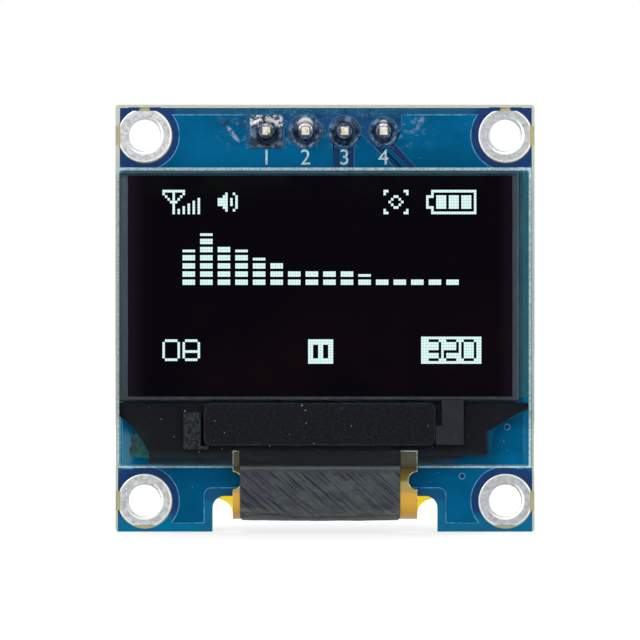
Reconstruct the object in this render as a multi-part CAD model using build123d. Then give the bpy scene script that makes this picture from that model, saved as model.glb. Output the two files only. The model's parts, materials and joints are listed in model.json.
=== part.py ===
"""Small OLED display module: glass panel, wrapped flex cable, circuit board, pin header and rear components.

Millimetres. X runs to the right, Z up towards the pin header, and the display faces -Y. The origin is the
centre of the four mounting holes, on the board's front face.
"""

from build123d import *
import os

# Glass panel, seen from the front
panel_width = 26.6
panel_height = 19.1
panel_offset_x = -0.07
ledge_height = 4.2
cap_right_margin = 0.66
polarizer_left_margin = 0.58
polarizer_right_margin = 1.08
polarizer_top_margin = 0.25
polarizer_bottom_margin = 0.32

# Circuit board, which stands out round the panel
board_side_margin = 0.35
board_thickness = 1.2
board_corner_radius = 0.2
pin_row_edge_distance = 1.75
panel_header_gap = 2.66
lower_strip_height = 4.29
notch_width = 14.67
notch_depth = 2.31
notch_corner_radius = 0.8

# Plated mounting holes, whose pads are cut flat on the two sides that face the board's edges
hole_side_distance = 1.9
hole_end_distance = 2.0
hole_diameter = 2.1
plating_wall = 0.06
pad_diameter = 3.52
pad_flat_distance = 1.6
pad_thickness = 0.05

# Pin header
pin_count = 4
pin_pitch = 2.54
pin_side = 0.64
pin_tip_side = 0.5
pin_tip_length = 0.35
pin_length = 11.5
pin_front_reach = 1.72
pin_drill_diameter = 1.1
header_body_depth = 2.54
header_body_height = 2.5
header_notch = 0.55
header_pin_clearance = 0.01

# Solder joints round the pins, from the left pin to the right one
joint_radii = (1.05, 0.95, 1.02, 0.88)
joint_height = 0.95
joint_crown = 0.08
joint_hollow = 0.28

# Panel layers, from the board to the front
mounting_tape_thickness = 0.3
mounting_tape_margin = 0.9
cap_thickness = 0.7
seal_thickness = 0.05
glass_thickness = 0.5
glass_edge_chamfer = 0.07
polarizer_thickness = 0.2
cap_rim = 1.0
cap_recess_depth = 0.35
seal_width = 0.8

# What the cap covers
emitter_margin = 0.25
emitter_thickness = 0.03
desiccant_margin = 0.8
desiccant_thickness = 0.15

# Ledge below the cap. The resin's ends are places in from the glass's sides and up from its lower edge,
# the latter as shares of the ledge
chip_width = 6.8
chip_height = 0.9
chip_thickness = 0.3
chip_gap = 0.75
resin_thickness = 0.55
resin_gap = 0.08
resin_left_edge = ((0.0, 0.77), (1.16, 0.52), (1.56, 0.38), (2.17, 0.12))
resin_right_edge = ((0.0, 0.88), (1.37, 0.7), (2.22, 0.55), (2.42, 0.4), (2.29, 0.16))
shield_width = 15.0
shield_height = 2.75
shield_offset_x = -0.28
shield_gap = 0.1
shield_thickness = 0.05
shield_corner_radius = 0.45

# Flex cable: neck on the front, bend under the notch, wide tail on the board's back
flex_width = 12.0
flex_thickness = 0.1
flex_bond_length = 0.95
flex_bend_reach = 1.4
flex_relief_radius = 0.58
flex_relief_drop = 0.95
tail_pad_gap = 0.39
tail_height = 3.9
tail_shoulder_radius = 1.1
tail_shoulder_drop = 0.21
tail_corner_radius = 0.3
bend_tape_width = 10.4
bend_tape_offset_x = -0.32
bend_tape_thickness = 0.08
bend_tape_top_gap = 0.02
bend_tape_rear_length = 0.35

# Solder row that joins the tail to the board
finger_count = 30
finger_width = 0.36
finger_side_margin = 0.43
finger_on_flex = 0.9
finger_on_board = 0.7
finger_crown = 0.08

# Rear components
capacitor_length = 1.6
capacitor_width = 0.8
capacitor_height = 0.8
capacitor_row_count = 4
capacitor_pitch = 2.5
capacitor_row_x = -1.0
capacitor_row_rise = 1.7
resistor_length = 1.6
resistor_width = 0.8
resistor_height = 0.45
resistor_row_count = 6
resistor_pitch = 1.7
resistor_row_x = -1.8
resistor_row_rise = 3.1
address_resistor_side_distance = 5.05
address_resistor_rise = 5.6
termination_length = 0.32
termination_wall = 0.04
component_edge_chamfer = 0.06

# Voltage regulator in a three-lead package
regulator_length = 2.9
regulator_width = 1.3
regulator_height = 1.0
regulator_standoff = 0.08
regulator_draft = 7
regulator_side_distance = 6.25
regulator_rise = 5.6
regulator_capacitor_gap = 0.9
lead_width = 0.4
lead_thickness = 0.13
lead_pitch = 1.9
lead_reach = 0.56
lead_foot = 0.3

# Depths along Y that follow from the sizes above
tape_front = -mounting_tape_thickness
cap_front = tape_front - cap_thickness
glass_back = cap_front - seal_thickness
glass_front = glass_back - glass_thickness

# Places along X and Z that follow from the sizes above
board_width = panel_width + 2 * board_side_margin
board_height = pin_row_edge_distance + panel_header_gap + panel_height + lower_strip_height
hole_spacing_x = board_width - 2 * hole_side_distance
hole_spacing_z = board_height - 2 * hole_end_distance
pin_row_z = board_height / 2 - pin_row_edge_distance
notch_edge_z = -board_height / 2 + notch_depth
glass_left = panel_offset_x - panel_width / 2
glass_right = panel_offset_x + panel_width / 2
glass_top = pin_row_z - panel_header_gap
glass_bottom = glass_top - panel_height
cap_width = panel_width - cap_right_margin
cap_height = panel_height - ledge_height
cap_centre_x = glass_left + cap_width / 2
cap_centre_z = glass_top - cap_height / 2
cap_bottom = glass_top - cap_height
polarizer_width = panel_width - polarizer_left_margin - polarizer_right_margin
polarizer_height = cap_height - polarizer_top_margin - polarizer_bottom_margin
flex_top = glass_bottom + flex_bond_length
flex_front_inner = glass_back + flex_thickness
flex_rear_outer = board_thickness + flex_thickness
flex_inner_radius = (board_thickness - flex_front_inner) / 2
bend_y = (board_thickness + flex_front_inner) / 2
bend_z = notch_edge_z + flex_inner_radius - flex_bend_reach
tail_width = hole_spacing_x - pad_diameter - 2 * tail_pad_gap
finger_pitch = (tail_width - 2 * finger_side_margin - finger_width) / (finger_count - 1)
tail_bottom = notch_edge_z - tail_shoulder_drop
tail_top = tail_bottom + tail_height
finger_top = tail_top + finger_on_board
capacitor_row_z = finger_top + capacitor_row_rise
resistor_row_z = capacitor_row_z + resistor_row_rise
regulator_x = board_width / 2 - regulator_side_distance
regulator_z = resistor_row_z + regulator_rise
address_resistor_x = -board_width / 2 + address_resistor_side_distance


def plate(outline, front, thickness):
    """A flat outline drawn in X and Z, as a solid from its front face back along +Y."""
    return extrude(Plane.XZ.offset(-(front + thickness)) * outline, amount=thickness)


def mirrored_corners(half_x, half_z):
    """The four corners of a rectangle centred on the origin, as signs and places."""
    return [(sx, sz, sx * half_x, sz * half_z) for sz in (1, -1) for sx in (-1, 1)]


def pin_places():
    """X of each header pin, left to right."""
    return [(i - (pin_count - 1) / 2) * pin_pitch for i in range(pin_count)]


def circuit_board():
    outline = RectangleRounded(board_width, board_height, board_corner_radius)
    notch = Rectangle(notch_width, 2 * notch_depth)
    notch = fillet(notch.vertices(), notch_corner_radius)
    outline -= Pos(0, -board_height / 2) * notch
    for _, _, x, z in mirrored_corners(hole_spacing_x / 2, hole_spacing_z / 2):
        outline -= Pos(x, z) * Circle(hole_diameter / 2 + plating_wall)
    for x in pin_places():
        outline -= Pos(x, pin_row_z) * Circle(pin_drill_diameter / 2)
    return plate(outline, 0, board_thickness)


def hole_plating(side_x, side_z, x, z):
    """The barrel in a mounting hole with a clipped pad on each face of the board."""
    barrel = Circle(hole_diameter / 2 + plating_wall) - Circle(hole_diameter / 2)
    keep = Rectangle(pad_diameter + 2 * pad_flat_distance, pad_diameter + 2 * pad_flat_distance)
    reach = pad_diameter / 2
    keep = Pos(-side_x * reach, -side_z * reach) * keep
    pad = Circle(pad_diameter / 2) & keep
    pad -= Circle(hole_diameter / 2)
    place = Pos(x, z)
    plating = plate(place * barrel, 0, board_thickness)
    plating += plate(place * pad, -pad_thickness, pad_thickness)
    plating += plate(place * pad, board_thickness, pad_thickness)
    return plating


def header_pin(x):
    """A square pin with tapered ends, its short end through the board to the front."""
    front = -pin_front_reach
    straight = pin_length - 2 * pin_tip_length
    shank = plate(Pos(x, pin_row_z) * Rectangle(pin_side, pin_side), front + pin_tip_length, straight)
    pin = shank
    for face_y, tip_y in (
        (front + pin_tip_length, front),
        (front + pin_length - pin_tip_length, front + pin_length),
    ):
        base = Plane.XZ.offset(-face_y) * Pos(x, pin_row_z) * Rectangle(pin_side, pin_side)
        tip = Plane.XZ.offset(-tip_y) * Pos(x, pin_row_z) * Rectangle(pin_tip_side, pin_tip_side)
        pin += loft([base, tip])
    return pin


def header_body():
    """The moulded strip behind the board, waisted between its pins."""
    outline = Rectangle(pin_count * pin_pitch, header_body_height)
    half = header_body_height / 2
    for i in range(pin_count + 1):
        x = (i - pin_count / 2) * pin_pitch
        for side in (1, -1):
            outline -= Pos(x, side * half) * Rot(0, 0, 45) * Rectangle(header_notch, header_notch)
    for x in pin_places():
        hole = pin_side + 2 * header_pin_clearance
        outline -= Pos(x, 0) * Rectangle(hole, hole)
    return plate(Pos(0, pin_row_z) * outline, board_thickness, header_body_depth)


def solder_joint(x, radius):
    """A concave cone on the front pad, with the solder that fills the drilled hole round the pin."""
    drill = pin_drill_diameter / 2
    crown = pin_side / 2 * 2**0.5 + joint_crown
    middle = ((crown + radius) / 2 - joint_hollow / 2, joint_height / 2 - joint_hollow / 2)
    cone = ThreePointArc((radius, 0), middle, (crown, joint_height))
    top = [(crown, joint_height), (0, joint_height)]
    barrel = [(0, -board_thickness), (drill, -board_thickness), (drill, 0), (radius, 0)]
    section = Plane.XZ * make_face(cone + Polyline(*top, *barrel))
    joint = Rot(90, 0, 0) * revolve(section, Axis.Z)
    joint = Pos(x, 0, pin_row_z) * joint
    pin = Pos(x, pin_row_z) * Rectangle(pin_side, pin_side)
    return joint - plate(pin, -joint_height, joint_height + board_thickness)


def front_glass():
    """The clear sheet that carries the picture, with its front edges ground off."""
    outline = Pos(panel_offset_x, glass_top - panel_height / 2) * Rectangle(panel_width, panel_height)
    glass = plate(outline, glass_front, glass_thickness)
    front_edges = glass.edges().filter_by_position(Axis.Y, glass_front - 0.01, glass_front + 0.01)
    return chamfer(front_edges, glass_edge_chamfer)


def polarizer():
    x = glass_left + polarizer_left_margin + polarizer_width / 2
    z = glass_top - polarizer_top_margin - polarizer_height / 2
    outline = Pos(x, z) * Rectangle(polarizer_width, polarizer_height)
    return plate(outline, glass_front - polarizer_thickness, polarizer_thickness)


def cap_place():
    return Pos(cap_centre_x, cap_centre_z)


def cap_glass():
    """The rear glass, with a shallow recess on the side that faces the front glass."""
    cap = plate(cap_place() * Rectangle(cap_width, cap_height), cap_front, cap_thickness)
    recess = Rectangle(cap_width - 2 * cap_rim, cap_height - 2 * cap_rim)
    return cap - plate(cap_place() * recess, cap_front, cap_recess_depth)


def seal_frame():
    margin = (cap_rim - seal_width) / 2
    outer = Rectangle(cap_width - 2 * margin, cap_height - 2 * margin)
    inner = Rectangle(cap_width - 2 * margin - 2 * seal_width, cap_height - 2 * margin - 2 * seal_width)
    return plate(cap_place() * (outer - inner), glass_back, seal_thickness)


def emitter_layer():
    shrink = 2 * (cap_rim + emitter_margin)
    outline = cap_place() * Rectangle(cap_width - shrink, cap_height - shrink)
    return plate(outline, glass_back, emitter_thickness)


def desiccant_sheet():
    shrink = 2 * (cap_rim + desiccant_margin)
    outline = cap_place() * Rectangle(cap_width - shrink, cap_height - shrink)
    return plate(outline, cap_front + cap_recess_depth - desiccant_thickness, desiccant_thickness)


def mounting_tape():
    shrink = 2 * mounting_tape_margin
    outline = cap_place() * Rectangle(cap_width - shrink, cap_height - shrink)
    return plate(outline, tape_front, mounting_tape_thickness)


def chip_centre_z():
    return cap_bottom - chip_gap - chip_height / 2


def driver_chip():
    outline = Pos(panel_offset_x, chip_centre_z()) * Rectangle(chip_width, chip_height)
    return plate(outline, glass_back, chip_thickness)


def chip_resin():
    """Resin poured over the chip on the back of the ledge, with wavy ends, open where the flex is bonded."""
    left = [(glass_left + inset, glass_bottom + share * ledge_height) for inset, share in resin_left_edge]
    right = [(glass_right - inset, glass_bottom + share * ledge_height) for inset, share in resin_right_edge]
    top_left = (glass_left, cap_bottom - resin_gap)
    top_right = (glass_right, cap_bottom - resin_gap)
    outline = make_face(
        [
            Spline(*left),
            Line(left[-1], right[-1]),
            Spline(*right[::-1]),
            Line(right[0], top_right),
            Line(top_right, top_left),
            Line(top_left, left[0]),
        ]
    )
    bond = Rectangle(flex_width + 2 * resin_gap, 2 * (flex_bond_length + resin_gap))
    outline -= Pos(0, glass_bottom) * bond
    return plate(outline, glass_back, resin_thickness) - driver_chip()


def light_shield():
    z = cap_bottom - shield_gap - shield_height / 2
    outline = RectangleRounded(shield_width, shield_height, shield_corner_radius)
    outline = Pos(panel_offset_x + shield_offset_x, z) * outline
    return plate(outline, glass_front - shield_thickness, shield_thickness)


def wrapped_strip(front_inner, rear_inner, thickness, front_top, rear_top, width):
    """A strip of even thickness: down the front, round a half circle under the notch and up the back."""
    radius = (rear_inner - front_inner) / 2
    outer = radius + thickness
    centre = (front_inner + rear_inner) / 2
    inside = [
        Line((front_inner, front_top), (front_inner, bend_z)),
        ThreePointArc((front_inner, bend_z), (centre, bend_z - radius), (rear_inner, bend_z)),
        Line((rear_inner, bend_z), (rear_inner, rear_top)),
    ]
    outside = [
        Line((rear_inner, rear_top), (rear_inner + thickness, rear_top)),
        Line((rear_inner + thickness, rear_top), (rear_inner + thickness, bend_z)),
        ThreePointArc(
            (rear_inner + thickness, bend_z), (centre, bend_z - outer), (front_inner - thickness, bend_z)
        ),
        Line((front_inner - thickness, bend_z), (front_inner - thickness, front_top)),
        Line((front_inner - thickness, front_top), (front_inner, front_top)),
    ]
    section = Plane.YZ * make_face(inside + outside)
    return extrude(section, amount=width / 2, both=True)


def flex_front_outline():
    """The neck seen from the front, with a half-round relief in each edge below the glass."""
    reach = flex_top - bend_z + 2 * flex_inner_radius
    neck = Pos(0, flex_top - reach / 2) * Rectangle(flex_width, reach)
    relief_z = glass_bottom - flex_relief_drop
    for side in (1, -1):
        neck -= Pos(side * flex_width / 2, relief_z) * Circle(flex_relief_radius)
    return neck


def flex_rear_outline():
    """The wide tail seen from the back, with round shoulders down to the neck."""
    tail = RectangleRounded(tail_width, tail_height, tail_corner_radius)
    tail = Pos(0, (tail_bottom + tail_top) / 2) * tail
    reach = 2 * flex_inner_radius + tail_bottom - bend_z
    tail += Pos(0, tail_bottom - reach / 2 + tail_corner_radius) * Rectangle(flex_width, reach)
    corner = tail_shoulder_radius
    for side in (1, -1):
        shoulder = Pos(side * (flex_width + corner) / 2, tail_bottom - corner / 2) * Rectangle(corner, corner)
        shoulder -= Pos(side * (flex_width / 2 + corner), tail_bottom - corner) * Circle(corner)
        tail += shoulder
    return tail


def flex_cable():
    strip = wrapped_strip(flex_front_inner, board_thickness, flex_thickness, flex_top, tail_top, tail_width)
    front = plate(flex_front_outline(), glass_back - flex_thickness, bend_y - glass_back + flex_thickness)
    rear = plate(flex_rear_outline(), bend_y, flex_rear_outer - bend_y + flex_thickness)
    return (strip & front) + (strip & rear)


def bend_tape():
    top = glass_bottom - bend_tape_top_gap
    rear_top = bend_z + bend_tape_rear_length
    strip = wrapped_strip(glass_back, flex_rear_outer, bend_tape_thickness, top, rear_top, bend_tape_width)
    return Pos(bend_tape_offset_x, 0, 0) * strip


def flex_solder():
    """One loaf of solder for each finger, half on the tail and half on the board."""
    board_y = board_thickness
    flex_y = flex_rear_outer
    ridge_y = flex_y + finger_crown
    outline = [
        (flex_y, tail_top - finger_on_flex),
        (flex_y, tail_top),
        (board_y, tail_top),
        (board_y, finger_top),
        (ridge_y, tail_top + finger_on_board / 3),
        (ridge_y, tail_top - finger_on_flex / 3),
    ]
    section = Plane.YZ * make_face(Polyline(*outline, close=True))
    loaf = extrude(section, amount=finger_width / 2, both=True)
    places = [(i - (finger_count - 1) / 2) * finger_pitch for i in range(finger_count)]
    return Compound([Pos(x, 0, 0) * loaf for x in places])


def component_block(length, width, height):
    """A chip component's outer block, lying along X on the back of the board."""
    block = Pos(0, board_thickness + height / 2, 0) * Box(length, height, width)
    return chamfer(block.edges().filter_by(Axis.X), component_edge_chamfer)


def component_body(length, width, height):
    """The ceramic block, which reaches into both of its terminations."""
    wall = termination_wall
    core = Box(length - 2 * wall, height - 2 * wall, width - 2 * wall)
    return Pos(0, board_thickness + height / 2, 0) * core


def component_ends(length, width, height):
    """Two metal caps, one over each end of the ceramic block."""
    block = component_block(length, width, height)
    gap = length - 2 * termination_length
    middle = Pos(0, board_thickness + height / 2, 0) * Box(gap, 2 * height, 2 * width)
    return block - middle - component_body(length, width, height)


def row(count, pitch, x, z):
    """Places evenly spaced along X about the middle of a row."""
    return [(x + (i - (count - 1) / 2) * pitch, z) for i in range(count)]


def capacitor_places():
    """A row above the flex cable's tail, and one on each side of the regulator."""
    beside = (regulator_length + capacitor_width) / 2 + regulator_capacitor_gap
    pair = [(regulator_x + side * beside, regulator_z) for side in (-1, 1)]
    return row(capacitor_row_count, capacitor_pitch, capacitor_row_x, capacitor_row_z) + pair


def resistor_places():
    """A row above the capacitors, and the one that selects the module's address."""
    address = (address_resistor_x, resistor_row_z + address_resistor_rise)
    return row(resistor_row_count, resistor_pitch, resistor_row_x, resistor_row_z) + [address]


def stand_up(shape, x, z):
    """Turns a component that lies along X to lie along Z, and puts it in its place."""
    return Pos(x, 0, z) * Rot(0, 90, 0) * shape


def regulator_body():
    """Moulded package with drafted sides above and below its parting line."""
    middle = board_thickness + regulator_standoff + (regulator_height - regulator_standoff) / 2
    half = (regulator_height - regulator_standoff) / 2
    outline = Pos(regulator_x, regulator_z) * Rectangle(regulator_length, regulator_width)
    parting = Plane.XZ.offset(-middle) * outline
    upper = extrude(parting, amount=half, taper=regulator_draft)
    lower = extrude(parting, amount=-half, taper=regulator_draft)
    return upper + lower


def regulator_lead():
    """One gull-wing lead that leaves the package along +Z, down to its foot on the board."""
    middle = (regulator_height + regulator_standoff) / 2
    top = middle + lead_thickness / 2
    knee = lead_reach - lead_foot
    points = [
        (0, top),
        (knee / 2, top),
        (knee, lead_thickness),
        (lead_reach, lead_thickness),
        (lead_reach, 0),
        (knee - lead_thickness / 2, 0),
        (knee / 2 - lead_thickness / 2, top - lead_thickness),
        (0, top - lead_thickness),
    ]
    outline = make_face(Polyline(*[(board_thickness + y, z) for z, y in points], close=True))
    return extrude(Plane.YZ * outline, amount=lead_width / 2, both=True)


def regulator_leads():
    """Two leads on the lower side of the package and one on the upper side."""
    half = regulator_width / 2
    upper = Pos(regulator_x, 0, regulator_z + half) * regulator_lead()
    leads = [upper]
    for side in (1, -1):
        lower = mirror(regulator_lead(), Plane.XY)
        leads.append(Pos(regulator_x + side * lead_pitch / 2, 0, regulator_z - half) * lower)
    return Compound(leads)


def nodes():
    """Every piece with its name."""
    pieces = {"circuit_board": circuit_board()}
    corners = ("top_left", "top_right", "bottom_left", "bottom_right")
    for name, corner in zip(corners, mirrored_corners(hole_spacing_x / 2, hole_spacing_z / 2)):
        pieces[f"hole_plating_{name}"] = hole_plating(*corner)
    pieces["header_body"] = header_body()
    for i, (x, radius) in enumerate(zip(pin_places(), joint_radii), 1):
        pieces[f"header_pin_{i}"] = header_pin(x)
        pieces[f"solder_joint_{i}"] = solder_joint(x, radius)
    pieces |= {
        "mounting_tape": mounting_tape(),
        "cap_glass": cap_glass(),
        "desiccant_sheet": desiccant_sheet(),
        "seal_frame": seal_frame(),
        "emitter_layer": emitter_layer(),
        "front_glass": front_glass(),
        "polarizer": polarizer(),
        "driver_chip": driver_chip(),
        "chip_resin": chip_resin(),
        "light_shield": light_shield(),
        "flex_cable": flex_cable(),
        "bend_tape": bend_tape(),
        "flex_solder": flex_solder(),
        "regulator_body": regulator_body(),
        "regulator_leads": regulator_leads(),
    }
    capacitor = (capacitor_length, capacitor_width, capacitor_height)
    for i, place in enumerate(capacitor_places(), 1):
        pieces[f"capacitor_{i}_body"] = stand_up(component_body(*capacitor), *place)
        pieces[f"capacitor_{i}_ends"] = stand_up(component_ends(*capacitor), *place)
    resistor = (resistor_length, resistor_width, resistor_height)
    for i, place in enumerate(resistor_places(), 1):
        pieces[f"resistor_{i}_body"] = stand_up(component_body(*resistor), *place)
        pieces[f"resistor_{i}_ends"] = stand_up(component_ends(*resistor), *place)
    return pieces


os.makedirs("parts", exist_ok=True)
for node, shape in nodes().items():
    export_step(shape, f"parts/{node}.step")
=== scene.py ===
"""Looks of a small display module: a glass panel on a blue circuit board, seen from both sides.

Sizes in the outlines are millimetres in the part's own frame: X to the right, Z up towards the pin header,
and the display faces -Y. Meshes and properties are in metres.
"""

import json
import math
import random
from functools import cached_property

import bmesh
import bpy
from bpy.props import FloatProperty, FloatVectorProperty, IntProperty, PointerProperty
from mathutils import Matrix, Vector, noise
from mathutils.geometry import delaunay_2d_cdt


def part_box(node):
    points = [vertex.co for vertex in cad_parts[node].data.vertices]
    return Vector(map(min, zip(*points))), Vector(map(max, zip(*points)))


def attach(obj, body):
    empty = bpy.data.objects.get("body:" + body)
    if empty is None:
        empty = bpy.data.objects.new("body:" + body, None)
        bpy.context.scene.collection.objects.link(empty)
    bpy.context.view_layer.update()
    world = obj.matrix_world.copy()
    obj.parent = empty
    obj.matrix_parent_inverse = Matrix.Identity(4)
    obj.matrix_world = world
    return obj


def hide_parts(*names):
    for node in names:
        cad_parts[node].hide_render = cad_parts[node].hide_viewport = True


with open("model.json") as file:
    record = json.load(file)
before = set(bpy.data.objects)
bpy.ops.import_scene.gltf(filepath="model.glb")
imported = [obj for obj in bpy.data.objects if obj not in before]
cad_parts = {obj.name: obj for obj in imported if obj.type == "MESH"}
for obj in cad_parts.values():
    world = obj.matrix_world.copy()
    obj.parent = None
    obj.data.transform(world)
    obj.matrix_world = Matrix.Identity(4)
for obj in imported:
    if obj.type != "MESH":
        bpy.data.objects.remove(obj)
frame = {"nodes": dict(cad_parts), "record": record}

bl_info = {
    "name": "Small Display Module",
    "version": (1, 0, 0),
    "blender": (4, 5, 0),
    "location": "View3D > Sidebar > Display Module",
    "description": "Dresses the packed display module: solder mask, print, metal, panel and flex cable",
    "category": "Object",
}

MM = 0.001
FRONT, BACK = -1, 1


def span(node):
    """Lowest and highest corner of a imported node, in millimetres."""
    low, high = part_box(node)
    return low / MM, high / MM


def centre(node):
    """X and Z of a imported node's middle."""
    low, high = span(node)
    return (low.x + high.x) / 2, (low.z + high.z) / 2


def series(pattern, count):
    return [pattern.format(i) for i in range(1, count + 1)]


board_low, board_high = span("circuit_board")
glass_low, glass_high = span("front_glass")
cap_low, cap_high = span("cap_glass")
film_low, film_high = span("polarizer")
flex_low, flex_high = span("flex_cable")
tape_low, tape_high = span("bend_tape")
shield_low, shield_high = span("light_shield")
solder_low, solder_high = span("flex_solder")
hole_dims = frame["record"]["mounts"][0]["dims"]
HOLE_X, HOLE_Z = hole_dims["spacing_x_mm"] / 2, hole_dims["spacing_y_mm"] / 2
HOLE_RADIUS = hole_dims["hole_r_mm"]
HOLES = {"top_left": (-1, 1), "top_right": (1, 1), "bottom_left": (-1, -1), "bottom_right": (1, -1)}
PINS = series("header_pin_{}", 4)
PIN_X = [centre(pin)[0] for pin in PINS]
PIN_Z = centre(PINS[0])[1]
CHIPS = series("capacitor_{}_ends", 6) + series("resistor_{}_ends", 7)
BOARD_BACK = board_high.y
PAD_RADIUS, PAD_FLAT = 1.76, 1.6
PAD_HEIGHT, PAD_SLOPE = 0.045, 0.03
OPENING_RADIUS, OPENING_SHIFT = 1.79, 0.02
BARE_HALF, BARE_END = 0.62, 1.95
GAP_RADIUS, GAP_FOOT = 2.22, 2.06
NOTCH_HALF, NOTCH_TOP, NOTCH_CORNER = 7.335, -11.59, 0.8
FINGERS, FINGER_WIDTH = 30, 0.36
ROOT = 0.004
PANE_GAP = 0.03
NUMERAL_SHARE = 0.7
MASK_SHEEN = (0.02, 0.35, 0.7)
DARK_SHEEN = (0.06, 0.06, 0.08)


def tint(code):
    """A linear colour from its hex code. A colour that is linear already stays as it is."""
    if not isinstance(code, str):
        return tuple(code)
    shares = [int(code[i : i + 2], 16) / 255 for i in (1, 3, 5)]
    return tuple(s / 12.92 if s <= 0.04045 else ((s + 0.055) / 1.055) ** 2.4 for s in shares)


def scaled(code, share):
    """A colour made darker or lighter."""
    return [c * share for c in tint(code)]


def colour(name, description, code):
    """A colour property with its default."""
    return FloatVectorProperty(
        name=name, description=description, default=tint(code), subtype="COLOR", size=3, min=0, max=1
    )


def length(name, description, millimetres):
    """A length property with its default."""
    return FloatProperty(
        name=name, description=description, default=millimetres * MM, min=0, precision=6, subtype="DISTANCE",
        unit="LENGTH",
    )


class BoardLook(bpy.types.PropertyGroup):
    mask: colour("Mask on copper", "Solder mask where copper lies under it", "#035D8C")
    mask_deep: colour("Deep mask", "Darker patches of the mask on copper", "#00486F")
    border: colour("Mask on laminate", "Solder mask along the board's rim", "#007299")
    clearance: colour("Clearance", "Solder mask in the gaps round pads", "#1A2C5E")
    # The edge line's colour is a painted highlight on the mask's slope at copper edges.
    edge_line: colour("Edge line", "Slope where the mask steps down off the copper", "#5C9CC4")
    ink: colour("Ink", "Printed lines and numbers", "#C1E0E5")
    laminate: colour("Laminate", "Bare glass fibre board", "#B9B58A")
    laminate_rim: colour("Laminate rim", "Routed rim of the board", "#C7CCC2")
    mask_height: length("Mask height", "Thickness of the mask on bare laminate", 0.012)
    copper_height: length("Copper height", "Height of the masked copper over the laminate", 0.03)
    edge_slope: length("Edge slope", "Width of the slope at a copper edge", 0.07)
    ink_height: length("Ink height", "Height of the print over the laminate", 0.042)


class MetalLook(bpy.types.PropertyGroup):
    tin: colour("Tin", "Tinned pads", "#C6C8C9")
    tin_shade: colour("Tin shade", "Mottled patches in the tin", "#A4A6A9")
    solder: colour("Solder", "Bright solder", "#A3A5A8")
    # The solder shade is partly flux and partly a painted dark reflection of the joints' surroundings.
    solder_shade: colour("Solder shade", "Dark flux over the header joints", "#2B3B51")
    pin: colour("Pin", "Plated header pins", "#E6E4DA")
    copper: colour("Copper", "Copper strips under the flex cable's film", "#A8641E")


class PanelLook(bpy.types.PropertyGroup):
    film: colour("Polarizer", "Black polarizing film", "#08060B")
    lit: colour("Lit pixel", "Light of the picture", "#E2FFFF")
    resin: colour("Resin", "Black resin over the driver chip", "#1D1D20")
    shield: colour("Shield", "Light shield film on the ledge", "#18191C")
    seal: colour("Seal", "Bead between the two glasses", "#5C6772")
    pixel_fill: FloatProperty(
        name="Pixel fill",
        description="Share of the pixel pitch that a lit pixel takes",
        default=0.94,
        min=0.5,
        max=1,
        subtype="FACTOR",
    )
    speck_count: IntProperty(name="Specks", description="Dust on the ledge", default=64, min=0, max=400)


class FlexLook(bpy.types.PropertyGroup):
    amber: colour("Amber", "Flex film over copper", "#DEAB48")
    yellow: colour("Yellow", "Thin flex film lit from behind", "#F2DA28")
    # The tape's grey is partly its own colour and partly a painted sheen of the bright surroundings it faces.
    tape: colour("Tape", "Brushed tape round the bend", "#4F5457")
    tape_groove: colour("Tape groove", "Bottoms of the tape's scratches", "#1C1F24")
    groove_depth: length("Groove depth", "Depth of the scratches in the tape", 0.03)


class StageLook(bpy.types.PropertyGroup):
    view_width: length("View width", "Width of the picture at the board", 41.69)
    camera_distance: length("Camera distance", "From the lens to the board", 400)
    world_level: FloatProperty(name="World level", description="Light from all round", default=0.62, min=0)
    key_power: FloatProperty(
        name="Key power", description="Power of each large lamp", default=0.42, min=0, unit="POWER"
    )


class ModuleLook(bpy.types.PropertyGroup):
    board: PointerProperty(type=BoardLook, name="Board")
    metal: PointerProperty(type=MetalLook, name="Metal")
    panel: PointerProperty(type=PanelLook, name="Panel")
    flex: PointerProperty(type=FlexLook, name="Flex cable")
    stage: PointerProperty(type=StageLook, name="Stage")


def looks():
    return bpy.context.scene.display_module


def with_maths(operation, swap=False):
    """A method that puts a level and another value through a maths node."""

    def method(self, other):
        return self.nodes.maths(operation, *((other, self) if swap else (self, other)))

    return method


class Level:
    """A node's output. Arithmetic with it adds maths nodes. | gives the higher of two and & the lower."""

    def __init__(self, nodes, socket):
        self.nodes = nodes
        self.socket = socket

    __add__, __radd__ = with_maths("ADD"), with_maths("ADD", swap=True)
    __sub__, __rsub__ = with_maths("SUBTRACT"), with_maths("SUBTRACT", swap=True)
    __mul__ = with_maths("MULTIPLY")
    __or__, __and__ = with_maths("MAXIMUM"), with_maths("MINIMUM")

    def __abs__(self):
        return self.nodes.maths("ABSOLUTE", self)

    def hypot(self, other):
        """How far a point lies from another one, from the two distances along the axes."""
        return self.nodes.maths("SQRT", self * self + other * other)

    def step(self, low, high):
        """0 below low and 1 above high, with a smooth change between them."""
        ends = {"Value": self, "From Min": low, "From Max": high}
        return self.nodes.level("MapRange", ends, interpolation_type="SMOOTHSTEP")

    def fall(self, low, high):
        """1 below low and 0 above high."""
        return 1.0 - self.step(low, high)


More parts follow.
